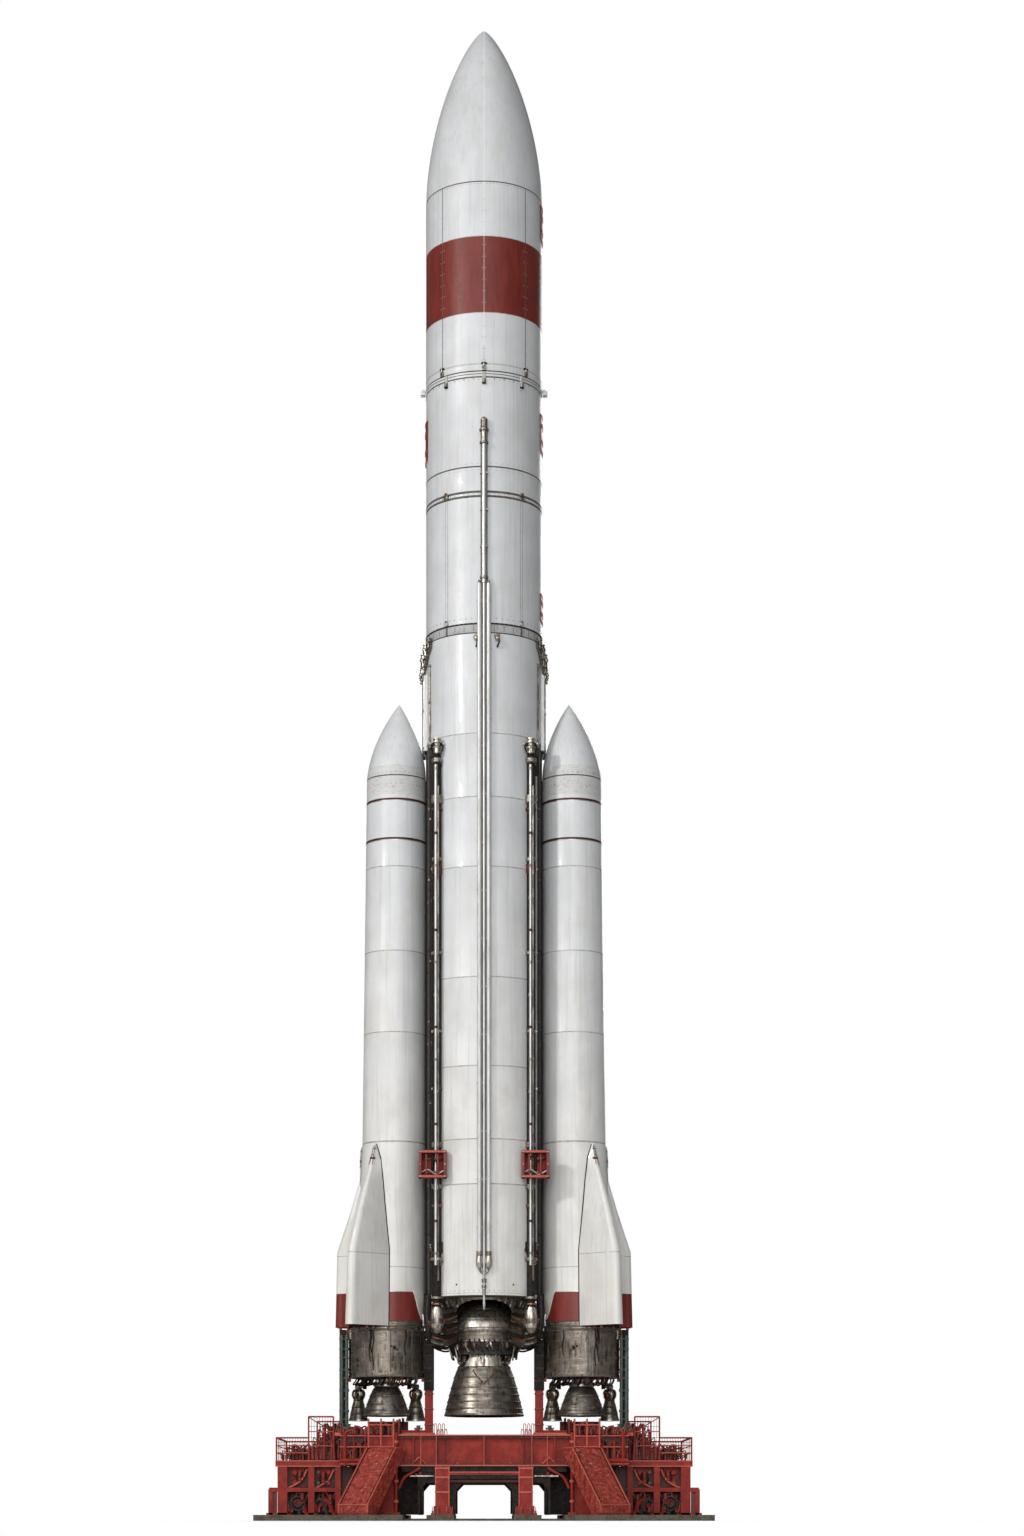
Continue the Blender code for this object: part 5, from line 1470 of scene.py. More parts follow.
    def pipework(self) -> None:
        """The manifold, pumps, ducts and small lines round the chamber."""
        work = Workpiece("engine_pipework", Slot.PIPE, "engine_manifold", body="core_engine")
        z = self.top_z + 0.085
        turns = [math.tau * step / 12 for step in range(12)]
        work.turned([(0.455 + 0.048 * math.cos(turn), z + 0.048 * math.sin(turn)) for turn in
            turns], PIPE, 64)
        for _ in work.mirrored():
            work.post(0.455, 0, z, 3.2, 0.062, SKIRT, 20)
            work.post(0.455, 0, 3.2, 3.24, 0.062, ALLOY, 20, 0.045)
        for number in range(16):
            turn, odd, third = 22.5 * number + 11, number % 2, number % 3
            rise = 3.17 if odd else 3.185
            work.hose([around(turn, 0.455, z + 0.02), around(turn + 5, 0.49 + 0.02 * odd,
                (z + rise) / 2 + 0.02), around(turn + (9 if third else -8), 0.36 + 0.02 * third,
                rise), around(turn + 4, 0.27, 3.165)], 0.024 if odd else 0.034,
                (PIPE, COPPER, SOOT_AND_SHADE)[third], 8)
            work.valve(station(turn + 4, 0.45, z + 0.07), 0.055, ALLOY if odd else PIPE, COPPER)
        for turn in range(3, 360, 15):
            work.rod(around(turn, 0.5, z), around(turn, 0.515, z), 0.014, TUBE, 6)
            work.rod(around(turn, 0.4, self.top_z + 0.035), around(turn, 0.44, self.top_z + 0.06),
                0.012, COPPER, 6)
        work.deliver()


# Boosters

@dataclass
class Booster:
    """One strap-on booster: nose, tank, finned tail, skirt, nozzle and verniers."""

    side: Side
    tip: Pair = (1.65, 15.88)
    top: Triple = (1.706, 0.572, 14.4)
    mid: Triple = (1.755, 0.612, 7.3)
    tail: Triple = (1.84, 0.69, 3.84)
    # Height, half width, reach of the outboard fin, reach of the other two
    fin_rows: tuple[Four, ...] = ((3.755, 0.385, 1.05, 1.4), (5.22, 0.345, 1.05, 1.38),
        (6.0, 0.255, 0.815, 1.12), (6.61, 0.19, 0.65, 0.88), (7.0, 0.145, 0.645, 0.72),
        (7.285, 0.03, 0.636, 0.64))
    band_z: float = 4.41
    skirt_x: float = 1.9
    skirt_r: float = 0.736
    vernier_dx: float = 0.56
    vernier_y: float = 0.36

    def lean(self, top: Point, low: Point) -> Matrix:
        """The shear that leans a turned shape outward.

        Args:
            top: Offset of its axis at the top, and last the height there.
            low: The same at its foot.

        Returns:
            The matrix.
        """
        slope = self.side.value * (top[0] - low[0]) / (top[-1] - low[-1])
        made = Matrix.Identity(4)
        made[0][2], made[0][3] = slope, self.side.value * low[0] - slope * low[-1]
        return made

    def build(self) -> None:
        """Builds every piece of the booster."""
        self.nose_and_tank()
        self.tail_and_fins()
        self.skirt()
        self.nozzle()
        self.vernier(-1, "inner")
        self.vernier(1, "outer")

    def nose_and_tank(self) -> None:
        """The painted nose and tank, with stripes, weld lines and a scuffed band."""
        label = self.side.label
        (_, tip_z), (_, top_r, top_z), (_, mid_r, mid_z) = self.tip, self.top, self.mid
        work = Workpiece(f"booster_nose_{label}", Slot.WHITE, f"booster_{label}_nose")
        profile: Profile = [(0.0, tip_z)]
        for step in range(1, 25):
            share = 1.0 - (step / 24) ** 1.6
            height = top_z + share * (tip_z - top_z)
            profile.append((top_r * (1.0 - share**1.75) ** 0.95, height,
                SCUFFED if height < 14.62 else WHITE))
        work.turned([*profile, (0.0, top_z)], WHITE, 96, self.lean(self.tip, self.top))
        work.deliver(30.0)

        work = Workpiece(f"booster_tank_skin_{label}", Slot.WHITE, f"booster_{label}_tank")

        def at(height: float, proud: float = 0.0) -> Pair:
            """Radius and height of the tapered skin."""
            return top_r + (mid_r - top_r) * (top_z - height) / (top_z - mid_z) + proud, height

        profile = [(0, top_z - 0.0005), (*at(top_z - 0.0005), SEAM), (*at(14.375), SCUFFED),
            (*at(14.02), WHITE)]
        for height in (13.92, 13.16):
            profile += [(*at(height + lift, proud), finish) for lift, proud,
                finish in ((0.026, 0, BROWN_AND_SHADE), (0.022, 0.004, BROWN_AND_SHADE), (-0.016, 0.004, TUBE),
                (-0.03, 0.003, WHITE), (-0.034, 0, WHITE))]
        for height in (12.63, 11.0, 9.43):
            profile += [(*at(height + 0.01), WELD), (*at(height, 0.002), WELD),
                (*at(height - 0.01), WHITE)]
        profile += [(*at(mid_z + 0.03), WELD), (*at(mid_z + 0.0005), WHITE), (0, mid_z + 0.0005)]
        work.turned(profile, WHITE, 96, self.lean(self.top, self.mid))
        for height in (14.45, 14.22):
            work.rivets(ring_spots(at(height)[0], height, 40, self.side.value * 1.706), 0.008, SEAM,
                0.004)
        work.deliver(30.0)

    def tail_and_fins(self) -> None:
        """The flared tail with its collar, and three thick fins with rounded edges."""
        label, (_, mid_r, mid_z), (_, tail_r, tail_z) = self.side.label, self.mid, self.tail
        work = Workpiece(f"booster_tail_skin_{label}", Slot.WHITE, f"booster_{label}_tail")
        lean = self.lean(self.mid, self.tail)
        work.turned([(0, mid_z), (mid_r, mid_z, WHITE), (self.skin_r(4.9), 4.9, WELD),
            (self.skin_r(4.885), 4.885, WHITE), (self.skin_r(4.42), 4.422, TUBE),
            (self.skin_r(4.41), self.band_z, BAND_RED), (tail_r, tail_z + 0.012, SEAM),
            (tail_r - 0.01, tail_z, ALLOY), (0.655, tail_z, ALLOY), (0.655, 3.8, SEAM),
            (0.66, 3.79, SKIRT), (0.66, 3.76, SEAM), (0.655, 3.74), (0, 3.74)], WHITE, 96, lean)
        for angle in (0, 57, -57):
            self.fin(work, lean, angle)
        for way in (1, -1):
            self.inner_fairing(work, lean, way)
        work.deliver(24.0)

    def skin_r(self, height: float) -> float:
        """Radius of the flared tail at a height."""
        (_, mid_r, mid_z), (_, tail_r, tail_z) = self.mid, self.tail
        return mid_r + (tail_r - mid_r) * (mid_z - height) / (mid_z - tail_z)

    def inner_fairing(self, work: Workpiece, lean: Matrix, way: int) -> None:
        """The white leaf-shaped flap over the red band beside the core, with its pipe and knob.

        Args:
            work: Piece that takes it.
            lean: The tail's lean.
            way: 1 in front, -1 at the rear.
        """
        toward = -self.side.value
        leaf = ((43, 4.4), (46, 4.33), (50, 4.2), (54, 4.08), (58, 3.99), (62, 3.92), (66, 3.89),
            (70, 3.88))

        def place(angle: float, height: float) -> Matrix:
            """A frame on the flap's side of the tail."""
            turn = toward * angle if way > 0 else 180 - toward * angle
            return lean @ station(turn, self.skin_r(height), 0)

        for (start, low), (stop, foot) in zip(leaf, leaf[1:]):
            half = 0.0062 * (stop - start) * toward * way
            with work.at(place((start + stop) / 2, 4.2)):
                work.prism([(-half, 4.43), (half, 4.43), (half, foot), (-half, low)], -0.016, 0.03,
                    WHITE)
        with work.at(place(66, 3.85)):
            work.hose([(0, -0.02, 4.0), (0, -0.035, 3.9), (0.015, -0.03, 3.8)], 0.02, TUBE, 8)
            work.ball((0.015, -0.04, 3.79), 0.038, TUBE)

    def fin_outline(self, height: float, angle: float, grow: float = 0.0) -> list[Triple]:
        """A fin's outline at a height: a wedge with a rounded outer edge.

        Args:
            height: The height.
            angle: The fin's place round the tail.
            grow: How much larger the outline is drawn.

        Returns:
            Its points, from one side over the edge to the other.
        """
        rows = self.fin_rows
        low, high = next(pair for pair in zip(rows, rows[1:]) if height <= pair[1][0])
        share = (height - low[0]) / (high[0] - low[0])
        half, outboard, other = (a + (b - a) * share + grow for a, b in zip(low[1:], high[1:]))
        reach, edge = (other if angle else outboard), 0.3 * half
        turns = [math.pi * (step / 8 - 0.5) for step in range(9)]
        points = [(reach - edge + edge * math.cos(turn), edge * math.sin(turn)) for turn in turns]
        points = [(0.5, -half), (0.58, -half), *points, (0.58, half), (0.5, half)]
        return [(x, y, height) for x, y in points]

    def fin_foot(self, height: float, angle: float) -> Pair:
        """Where a fin's side leaves the skin.

        Args:
            height: Height of the cut.
            angle: Way that the fin points.

        Returns:
            Distances along and across the fin.
        """
        skin, side = self.skin_r(height), self.fin_outline(height, angle, 0.001)[:7]
        for near, far in zip(side, side[1:]):
            start, stop = math.hypot(*near[:2]), math.hypot(*far[:2])
            if stop > skin:
                share = max(0.0, (skin - start) / (stop - start))
                break
        return near[0] + (far[0] - near[0]) * share + 0.003, -near[1] - (far[1] - near[1]) * share

    def fin(self, work: Workpiece, lean: Matrix, angle: float) -> None:
        """One thick fin, with its tip fittings, dark root lines, weld line and foot trim; the
        heavier inner root line is painted shade in the crease beside the body.

        Args:
            work: Piece that takes it.
            lean: The tail's lean.
            angle: Its place round the tail, from the outboard side.
        """
        inner = int(math.copysign(1, angle * self.side.value)) if angle else 0
        heights = [row[0] for row in self.fin_rows]
        turn = math.radians(angle if self.side is Side.RIGHT else 180 - angle)
        tips = {z: self.fin_outline(z, angle)[6][0] for z in (3.755, 6.86, 6.99, 7.05, 7.18, 7.24)}
        with work.at(lean @ Matrix.Rotation(turn, 4, "Z")):
            if not angle:
                work.loft([self.fin_outline(z, 0) for z in (heights[0], self.band_z)], BAND_RED)
                heights[0] = self.band_z
            work.loft([self.fin_outline(z, angle) for z in heights], WHITE)
            work.loft([self.fin_outline(z, angle, 0.002) for z in (5.13, 5.142)], WELD)
            work.loft([self.fin_outline(z, angle, -0.03) for z in (3.745, 3.77)], SOOT_AND_SHADE)
            # Dark lines along both roots; the thicker black one on the inner side is painted shade
            # in the crease.
            for way in (-1, 1):
                path = []
                for z in (3.76, 4.5, 5.22, 6.0, 6.3, 6.61, 7.0, 7.27):
                    along, across = self.fin_foot(z, angle)
                    path.append((along, way * across, z))
                work.pipe(path, 0.012 if way == inner else 0.006, SOOT_AND_SHADE if way == inner else SEAM, 6)
            work.block((0.6, -0.045, 6.97), (tips[6.99] + 0.01, 0.045, 7.01), BAND_RED)
            for y, z in ((-0.02, 7.18), (0.02, 7.18), (0.0, 7.05)):
                work.rod((0.62, y, z), (tips[z] + 0.008, y, z), 0.012, SEAM, 8)
            for y in (-0.04, 0.04):
                work.rod((tips[6.86], y, 6.86), (tips[7.24], y * 0.3, 7.24), 0.006, SEAM, 6)
            for x in (0.8, 0.95, 1.1, 1.25)[:4 if angle else 2]:
                for y in (-0.2, 0.0, 0.2):
                    y *= (tips[3.755] - x) / (tips[3.755] - 0.75)
                    work.post(x, y, 3.705, 3.75, 0.024, COPPER if x < 1 else SOOT_AND_SHADE)

    def skirt(self) -> None:
        """The steel aft skirt: rolled rings, access holes, brackets and vernier arms."""
        label, sign, r = self.side.label, self.side.value, self.skirt_r
        work = Workpiece(f"aft_skirt_{label}", Slot.ALLOY, f"booster_{label}_skirt")
        work.frame = Matrix.Translation((sign * self.skirt_x, 0, 0))
        work.turned([(0, 3.7397), (r - 0.02, 3.7397), (r, 3.73), (r, 3.7), (r - 0.008, 3.69, SEAM),
            (r - 0.008, 3.66), (r - 0.004, 3.655), (r - 0.004, 3.48, SEAM), (r, 3.475),
            (r, 3.455, SEAM), (r - 0.004, 3.45), (r - 0.004, 3.17, SEAM), (r, 3.165),
            (r, 3.145, SEAM), (r - 0.004, 3.14), (r - 0.004, 2.83, SEAM), (r, 2.825),
            (r, 2.785, SEAM), (r - 0.006, 2.77, SOOT_AND_SHADE), (0.7, 2.77, SOOT_AND_SHADE), (0.7, 2.87, SOOT_AND_SHADE),
            (0, 2.87, SOOT_AND_SHADE)], SKIRT, 96)
        for height, size, proud in ((2.88, 0.013, 0.01), (3.6, 0.01, 0.008)):
            work.rivets(ring_spots(r - 0.004, height, 48), size, SEAM, proud)
        for turn, tall in ((19, 0.7), (22, 0.45), (24, 0.62), (-31, 0.5), (-64, 0.6), (118, 0.6),
                (201, 0.66)):
            with work.at(station(sign * turn, r - 0.003, 3.68)):
                work.hose([(0, -0.006, 0), (0.02, -0.008, -tall * 0.3),
                    (-0.015, -0.006, -tall * 0.6), (0.01, -0.006, -tall)], 0.011, SOOT_AND_SHADE, 6, 3)
        for turn in (-78, -72, 100, 106):
            with work.at(station(-sign * turn, r, 3.62)):
                work.post(0, 0.02, -0.1, 0.08, 0.06, ALLOY, 14)
                work.rod((0, -0.03, -0.01), (0, -0.046, -0.01), 0.03, SOOT_AND_SHADE, 12)
        for turn in range(8, 360, 36):
            with work.at(station(turn, r - 0.002, 0)):
                work.block((-0.012, -0.004, 2.86), (0.012, 0.004, 3.66), SEAM)
        for turn, height, size in ((-14, 3.33, 0.035), (-9, 3.36, 0.022), (-18, 3.29, 0.018),
                (62, 3.25, 0.03), (140, 3.33, 0.035), (200, 3.3, 0.03), (262, 3.36, 0.03)):
            with work.at(station(sign * turn, r - 0.004, height)):
                work.rod((0, 0.01, 0), (0, -0.006, 0), size, SOOT_AND_SHADE)
                work.rod((0, 0.01, 0), (0, -0.004, 0), size * 1.4, SEAM)
        for number in range(15):
            with work.at(station(24 * number + 5, r - 0.004, 3.7)):
                work.block((-0.03, -0.012, -0.02), (0.03, 0.006, 0.03),
                    COPPER if number % 2 else SEAM)
        lift = Vector((0, 0, 2.62))
        for which in (-1, 1):
            point = self.vernier_spot(which)
            inboard = point - point.normalized() * 0.15
            work.post(inboard.x, inboard.y, 2.57, 2.88, 0.04, SOOT_AND_SHADE, 12)
            work.rod(inboard + lift, point + point.normalized() * 0.045 + lift, 0.025, TUBE, 16)
        for number in range(18):
            turn, odd, third = 20 * number + 6, number % 2, number % 3
            work.hose([around(turn, 0.24, 2.86), around(turn, 0.3 + 0.04 * third, 2.78),
                around(turn + 8, 0.56, 2.8 - 0.03 * odd), around(turn + 12, 0.62, 2.89)],
                0.022 + 0.008 * odd, (PIPE, COPPER, SOOT_AND_SHADE)[third], 8)
        for number in range(26):
            x, y = -0.6 + 1.2 * (number * SCATTER_X % 1), -0.42 + 0.16 * (number % 3)
            work.hose([(x, y, 2.86), (x + 0.03, y - 0.04, 2.72), (x - 0.03, y, 2.63),
                (x * 0.75, y + 0.05, 2.67)], 0.014 + 0.008 * (number % 2),
                (SOOT_AND_SHADE, RUBBER_AND_SHADE, PIPE, SOOT_AND_SHADE, COPPER)[number % 5])
        work.deliver(32.0)

    def nozzle(self) -> None:
        """The fixed main nozzle with its neck and hoops."""
        label = self.side.label
        work = Workpiece(f"main_nozzle_{label}", Slot.SCORCHED, f"booster_{label}_nozzle")
        work.frame = Matrix.Translation((self.side.value * self.skirt_x, 0, 0))
        outer = bell(0.243, 2.59, 0.46, 2.03, 10)
        work.turned([(0, 2.8697), (0.2, 2.8697), (0.2, 2.82), (0.15, 2.82, TUBE), (0.15, 2.69),
            (0.22, 2.68, TUBE), (0.245, 2.65, TUBE), (0.245, 2.61, SEAM), (0.233, 2.602, BELL),
            *hooped(outer, (3, 6, 8), 0.012, 0.007, 0.01), (0.454, 2.06, TUBE), (0.46, 2.056),
            (0.46, 2.034, SKIRT), (0.448, 2.03, SOOT_AND_SHADE), *((wide - 0.02, z, SOOT_AND_SHADE) for wide,
            z in outer[-2::-1]), (0.1, 2.585, SOOT_AND_SHADE), (0.07, 2.62, SOOT_AND_SHADE), (0, 2.62, SOOT_AND_SHADE)], BELL, 72)
        work.rivets(ring_spots(0.245, 2.63, 24), 0.012, SEAM, 0.01)
        work.deliver(35.0)

    def vernier_spot(self, which: int) -> Vector:
        """Swivel point of the inner (-1) or outer (1) vernier, from the skirt's axis."""
        return Vector((self.side.value * which * self.vernier_dx, self.vernier_y, 0))

    def vernier(self, which: int, place: str) -> None:
        """One swivelling vernier with its knuckle and bright unions.

        Args:
            which: -1 for the inner one, 1 for the outer.
            place: Its name.
        """
        label, spot = self.side.label, self.vernier_spot(which)
        work = Workpiece(f"{place}_vernier_bell_{label}", Slot.SCORCHED,
            f"booster_{label}_{place}_vernier", body=f"{label}_{place}_vernier")
        work.frame = Matrix.Translation(spot + Vector((self.side.value * self.skirt_x, 0, 0)))
        outer = bell(0.055, 2.48, 0.19, 1.95, 8)
        work.turned([(0, 2.58), (0.035, 2.58, ALLOY), (0.035, 2.53), (0.062, 2.52, TUBE),
            (0.062, 2.495, ALLOY), *hooped(outer, (2, 4, 6), 0.01, 0, 0.008), (0.19, 1.97, TUBE),
            (0.19, 1.95, SOOT_AND_SHADE), (0.178, 1.951, SOOT_AND_SHADE), *((wide - 0.012, z, SOOT_AND_SHADE) for wide,
            z in outer[-2::-1]), (0, 2.465, SOOT_AND_SHADE)], BELL, 40)
        lift, radial = Vector((0, 0, 2.62)), spot.normalized()
        work.rod(lift - radial * 0.05, lift + radial * 0.05, 0.055, ALLOY, 20)
        for across in (Vector((radial.y, -radial.x, 0)), Vector((-radial.y, radial.x, 0))):
            path = [across * wide + Vector((0, 0, z)) for wide, z in ((0.045, 2.6), (0.085, 2.52),
                (0.065, 2.42))]
            work.hose(path, 0.014, TUBE, 8, 5)
            work.ball(path[-1], 0.022, COPPER, 1)
        for number in range(9):
            work.hose([around(40 * number + turn, radius, z) for turn, radius,
                z in ((0, 0.04, 2.565), (12, 0.1, 2.535), (18, 0.115, 2.46), (10, 0.085, 2.38))],
                0.016 if number % 2 else 0.022, (STEEL, SOOT_AND_SHADE, COPPER)[number % 3], 6, 3)
        work.deliver(35.0)


# Launch table

@dataclass
class LaunchTable:
    """Steelwork under the rocket, dressed with the trim of its welded sections."""

    girder_y: float = 1.9
    face_y: float = -2.025
    girder_half: float = 1.66
    girder_z: Pair = (1.03, 1.62)
    pad_top: float = 0.11

    def build(self) -> None:
        """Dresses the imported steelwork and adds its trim."""
        self.dress_nodes()
        for end in End:
            self.girder_trim(end)
            self.leg_trim(end)
            for side in Side:
                self.strut_trim(side, end)
        for side in Side:
            self.deck_trim(side)
            self.platform_trim(side)

    def dress_nodes(self) -> None:
        """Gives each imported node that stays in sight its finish."""
        finishes = {"table": RED, "hold": RED, "side_platform": RED, "sloped": RED_TREAD,
            "service_cabinet": BROWN_AND_SHADE, "foundation": CONCRETE, "side_conduit": CONDUIT}
        for name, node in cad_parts.items():
            for start, finish in finishes.items():
                if name.startswith(start):
                    node.data.materials.clear()
                    node.data.materials.append(finish.material())

    def girder_trim(self, end: End) -> None:
        """Flange edges in painted highlight, painted shade lines under the flanges, a dark box of
        painted shade below, pipes, gussets and end plates of a main girder.

        Args:
            end: Which girder.
        """
        work = Workpiece(f"girder_trim_{end.label}", Slot.RED)
        work.frame = facing(end.value)
        y, face, half, (low, high) = -self.girder_y, self.face_y, self.girder_half, self.girder_z
        # Brighter red strips on the flange edges are painted highlight; the dark brown lines under
        # the top flange and above the bottom one are painted shade.
        for z, out, deep, finish in ((low + 0.01, -0.006, 0.002, RED_HIGHLIGHT),
                (high - 0.01, -0.006, 0.002, RED_HIGHLIGHT), (high - 0.05, 0.03, 0.05, BROWN_AND_SHADE),
                (low + 0.035, 0.03, 0.05, BROWN_AND_SHADE)):
            work.block((-half, face + out, z - 0.012), (half, face + deep, z + 0.012), finish)
        for x in (-1.19, -0.9, 0.0, 0.9, 1.19):
            work.block((x - 0.006, face + 0.006, low + 0.02), (x + 0.006, face + 0.016,
                high - 0.02), RED_HIGHLIGHT)
            work.prism([(x - 0.02, low + 0.02), (x + 0.02, low + 0.02), (x + 0.008, low + 0.12),
                (x - 0.008, low + 0.12)], face + 0.02, face + 0.1, RED)
        # A black box under the girder: painted shade between the tie and the girder.
        work.block((-1.55, face + 0.06, low - 0.11), (1.55, face + 0.18, low - 0.012), SOOT_AND_SHADE)
        for _ in work.mirrored():
            work.blocks(BROWN_AND_SHADE, *((x - 0.004, x + 0.004, face + 0.012, face + 0.1, low + 0.05,
                high - 0.05) for x in (0.745, 0.885)))
            for x in (1.37, 1.08):
                work.rod((x, face + 0.07, low + 0.02), (1.225, face + 0.07, low + 0.17), 0.014,
                    RED_HIGHLIGHT, 6)
            x, out = 1.655, face - 0.035
            work.post(x, out, self.pad_top, 1.66, 0.032, RED, 12)
            for z in (0.34, 0.72, 1.1, 1.46):
                work.post(x, out, z, z + 0.05, 0.05, RED_HIGHLIGHT, 12)
            work.blocks(RED, (half - 0.03, half, face + 0.01, y + 0.115, low, high),
                (x - 0.08, x + 0.08, face - 0.1, face + 0.03, self.pad_top, 0.16),
                *((x - 0.02, x + 0.02, y - 0.05, y + 0.05, low - 0.2, low - 0.03) for x in (0.4,
                1.2)))
            work.hose([(1.2, face + 0.03, low - 0.03), (1.34, face, low - 0.12),
                (1.5, face, low - 0.22), (1.6, face, low - 0.42)], 0.026, RED, 8, 5)
            for x in (1.55, 1.1, 0.5):
                for z in (low + 0.06, high - 0.06):
                    work.rod((x, y - 0.03, z), (x, y - 0.012, z), 0.016, RED_HIGHLIGHT, 6)
        for z, size, finish in ((low - 0.09, 0.035, SOOT_AND_SHADE), (low - 0.16, 0.022, RED_HIGHLIGHT)):
            work.rod((-1.3, y, z), (1.3, y, z), size, finish, 10)
        work.deliver()

    def leg_trim(self, end: End) -> None:
        """Collars, foot boxes, bolts and the lower tie of a leg frame, with black blocks and a low
        concrete strip that paint the shade in its openings and beneath it.

        Args:
            end: Which frame.
        """
        work = Workpiece(f"leg_trim_{end.label}", Slot.RED)
        work.frame = facing(end.value)
        face = self.face_y
        for _ in work.mirrored():
            work.blocks(RED_HIGHLIGHT, *((0.645, 0.925, face - 0.015, face + 0.02, z,
                z + 0.035) for z in (0.52, 0.8, 0.97)), *((x - 0.01, x + 0.01, face - 0.012,
                face + 0.01, 0.28, 1.02) for x in (0.66, 0.91)))
            work.block((0.57, face - 0.05, self.pad_top), (1.0, face + 0.02, 0.145), RED)
            for x in (0.6, 0.7, 0.87, 0.97):
                work.post(x, face - 0.025, 0.14, 0.19, 0.018, SEAM, 6)
                work.prism([(x - 0.006, 0.14), (x + 0.006, 0.14), (x + 0.006, 0.26),
                    (x - 0.006, 0.26)], face - 0.03, face + 0.01, RED_HIGHLIGHT)
            # Black blocks and wedges beside the openings: painted shade.
            for near, far, slope in ((0.53, 0.66, 0.13), (1.205, 1.25, 0.12)):
                work.block((near, face + 0.08, 0.13), (far, face + 0.14, 0.93), SOOT_AND_SHADE)
                work.prism([(near, 0.58), (near, 0.72), (near - slope, 0.72)], face + 0.08,
                    face + 0.13, SOOT_AND_SHADE)
            # A low concrete strip that draws the dark line between the pads: painted shadow.
            work.block((1.08, face + 0.1, 0.0), (1.5, face + 0.2, 0.03), CONCRETE)
            # A black box under the shoulder: painted shade.
            work.block((0.92, face + 0.085, 0.71), (1.25, face + 0.135, 1.02), SOOT_AND_SHADE)
            work.rod((0.95, face + 0.04, 0.84), (1.4, face + 0.04, 0.84), 0.022, STEEL, 10)
        work.block((-0.655, face - 0.008, 0.905), (0.655, face + 0.004, 0.925), RED_HIGHLIGHT)
        # A black band across the frame below the tie: painted shade.
        work.block((-0.655, face - 0.006, 0.78), (0.655, face + 0.004, 0.865), SOOT_AND_SHADE)
        work.rod((-0.66, face + 0.05, 0.745), (0.66, face + 0.05, 0.745), 0.034, BROWN_AND_SHADE, 10)
        work.deliver()

    def strut_trim(self, side: Side, end: End) -> None:
        """Rims in painted highlight with painted shadow lines inside them, foot box, ribs and the
        guard rail of a sloped strut.

        Args:
            side: Which side.
            end: Which end.
        """
        work = Workpiece(f"strut_trim_{side.label}_{end.label}", Slot.RED)
        s, e = side.value, end.value
        angle = math.radians(s * (30 if end is End.FRONT else 150))

        def top(y: float) -> float:
            """Height of the sloping plate."""
            return 0.3 + (1.36 - 0.3) / 0.98 * (y + 0.98)

        with work.at(Matrix.Translation((s * 1.93, e * 2.19, 0)) @ Matrix.Rotation(angle, 4, "Z")):
            for sign in work.mirrored():
                # Rims in the brighter red of painted highlight; the dark rod just inside each rim
                # is the rim's painted shadow on the plate.
                work.rod((0.315, -0.98, 0.306), (0.315, 0, 1.366), 0.017, RED_HIGHLIGHT, 8)
                if sign == s * e:
                    work.rod((0.315, 0, 1.366), (0.315, 0.33, 1.366), 0.017, RED_HIGHLIGHT, 8)
                work.block((0.299, -0.99, 0.11), (0.331, -0.97, 0.33), RED_HIGHLIGHT)
                work.rod((0.2835, -0.97, 0.313), (0.2835, 0, 1.362), 0.012, SOOT_AND_SHADE, 6)
                work.blocks(RED, *((0.311, 0.327, y - 0.01, y + 0.01, top(y) - 0.36,
                    top(y) - 0.04) for y in (-0.8, -0.62, -0.44, -0.26, -0.08)))
            work.block((-0.335, -1.0, 0.285), (0.335, -0.96, 0.31), RED_HIGHLIGHT)
            work.block((-0.34, -1.0, 0.11), (0.34, -0.93, 0.15), RED)
            for x in (-0.28, -0.14, 0.0, 0.14, 0.28):
                work.post(x, -0.985, 0.15, 0.185, 0.015, SEAM, 6)
            for number in range(9):
                y, half, x = -0.88 + 0.11 * number, 0.1 + 0.05 * (number % 3), (-0.08, 0.1,
                    0.0)[number % 3]
                work.rod((x - half, y, top(y) + 0.001), (x + half, y + 0.012,
                    top(y + 0.012) + 0.001), 0.006, RED_TREAD, 6)
        work.flip.xy = s, e
        for z in (1.8, 1.59, 1.39):
            work.rod((1.7, 2.1, z), (2.17, 2.1, z), 0.014, RED_HIGHLIGHT, 8)
        for x in (1.7, 2.17):
            work.rod((x, 2.1, 1.8), (x, 1.72, 1.8), 0.014, RED, 8)
        for z, size, finish in ((1.6, 0.014, RED_HIGHLIGHT), (1.39, 0.014, RED_HIGHLIGHT), (1.13, 0.05, RED),
                (1.07, 0.02, RED_HIGHLIGHT)):
            work.rod((2.2, 1.95, z), (2.72, 1.95, z), size, finish, 8)
        for x, y, low, high, size, finish in ((1.7, 2.1, 1.37, 1.92, 0.018, RED_HIGHLIGHT),
                (1.935, 2.1, 1.37, 1.92, 0.018, RED_HIGHLIGHT), (2.17, 2.1, 1.37, 1.92, 0.018, RED_HIGHLIGHT),
                (1.7, 1.72, 1.64, 1.82, 0.016, RED), (2.17, 1.72, 1.64, 1.82, 0.016, RED),
                (2.24, 1.95, 1.03, 1.66, 0.012, RED), (2.46, 1.95, 1.03, 1.66, 0.012, RED),
                (2.62, 1.95, 1.03, 1.66, 0.035, RED)):
            work.post(x, y, low, high, size, finish)
        work.block((2.175, 1.765, 1.03), (2.715, 1.8, 1.62), BROWN_AND_SHADE)
        clutter(work, (1.68, 2.2), 1.9, (1.62, 1.86), 15)
        clutter(work, (2.19, 2.7), 1.9, (1.62, 1.78), 15)
        clutter(work, (2.2, 2.7), 1.86, (1.1, 1.5), 18)
        work.deliver()

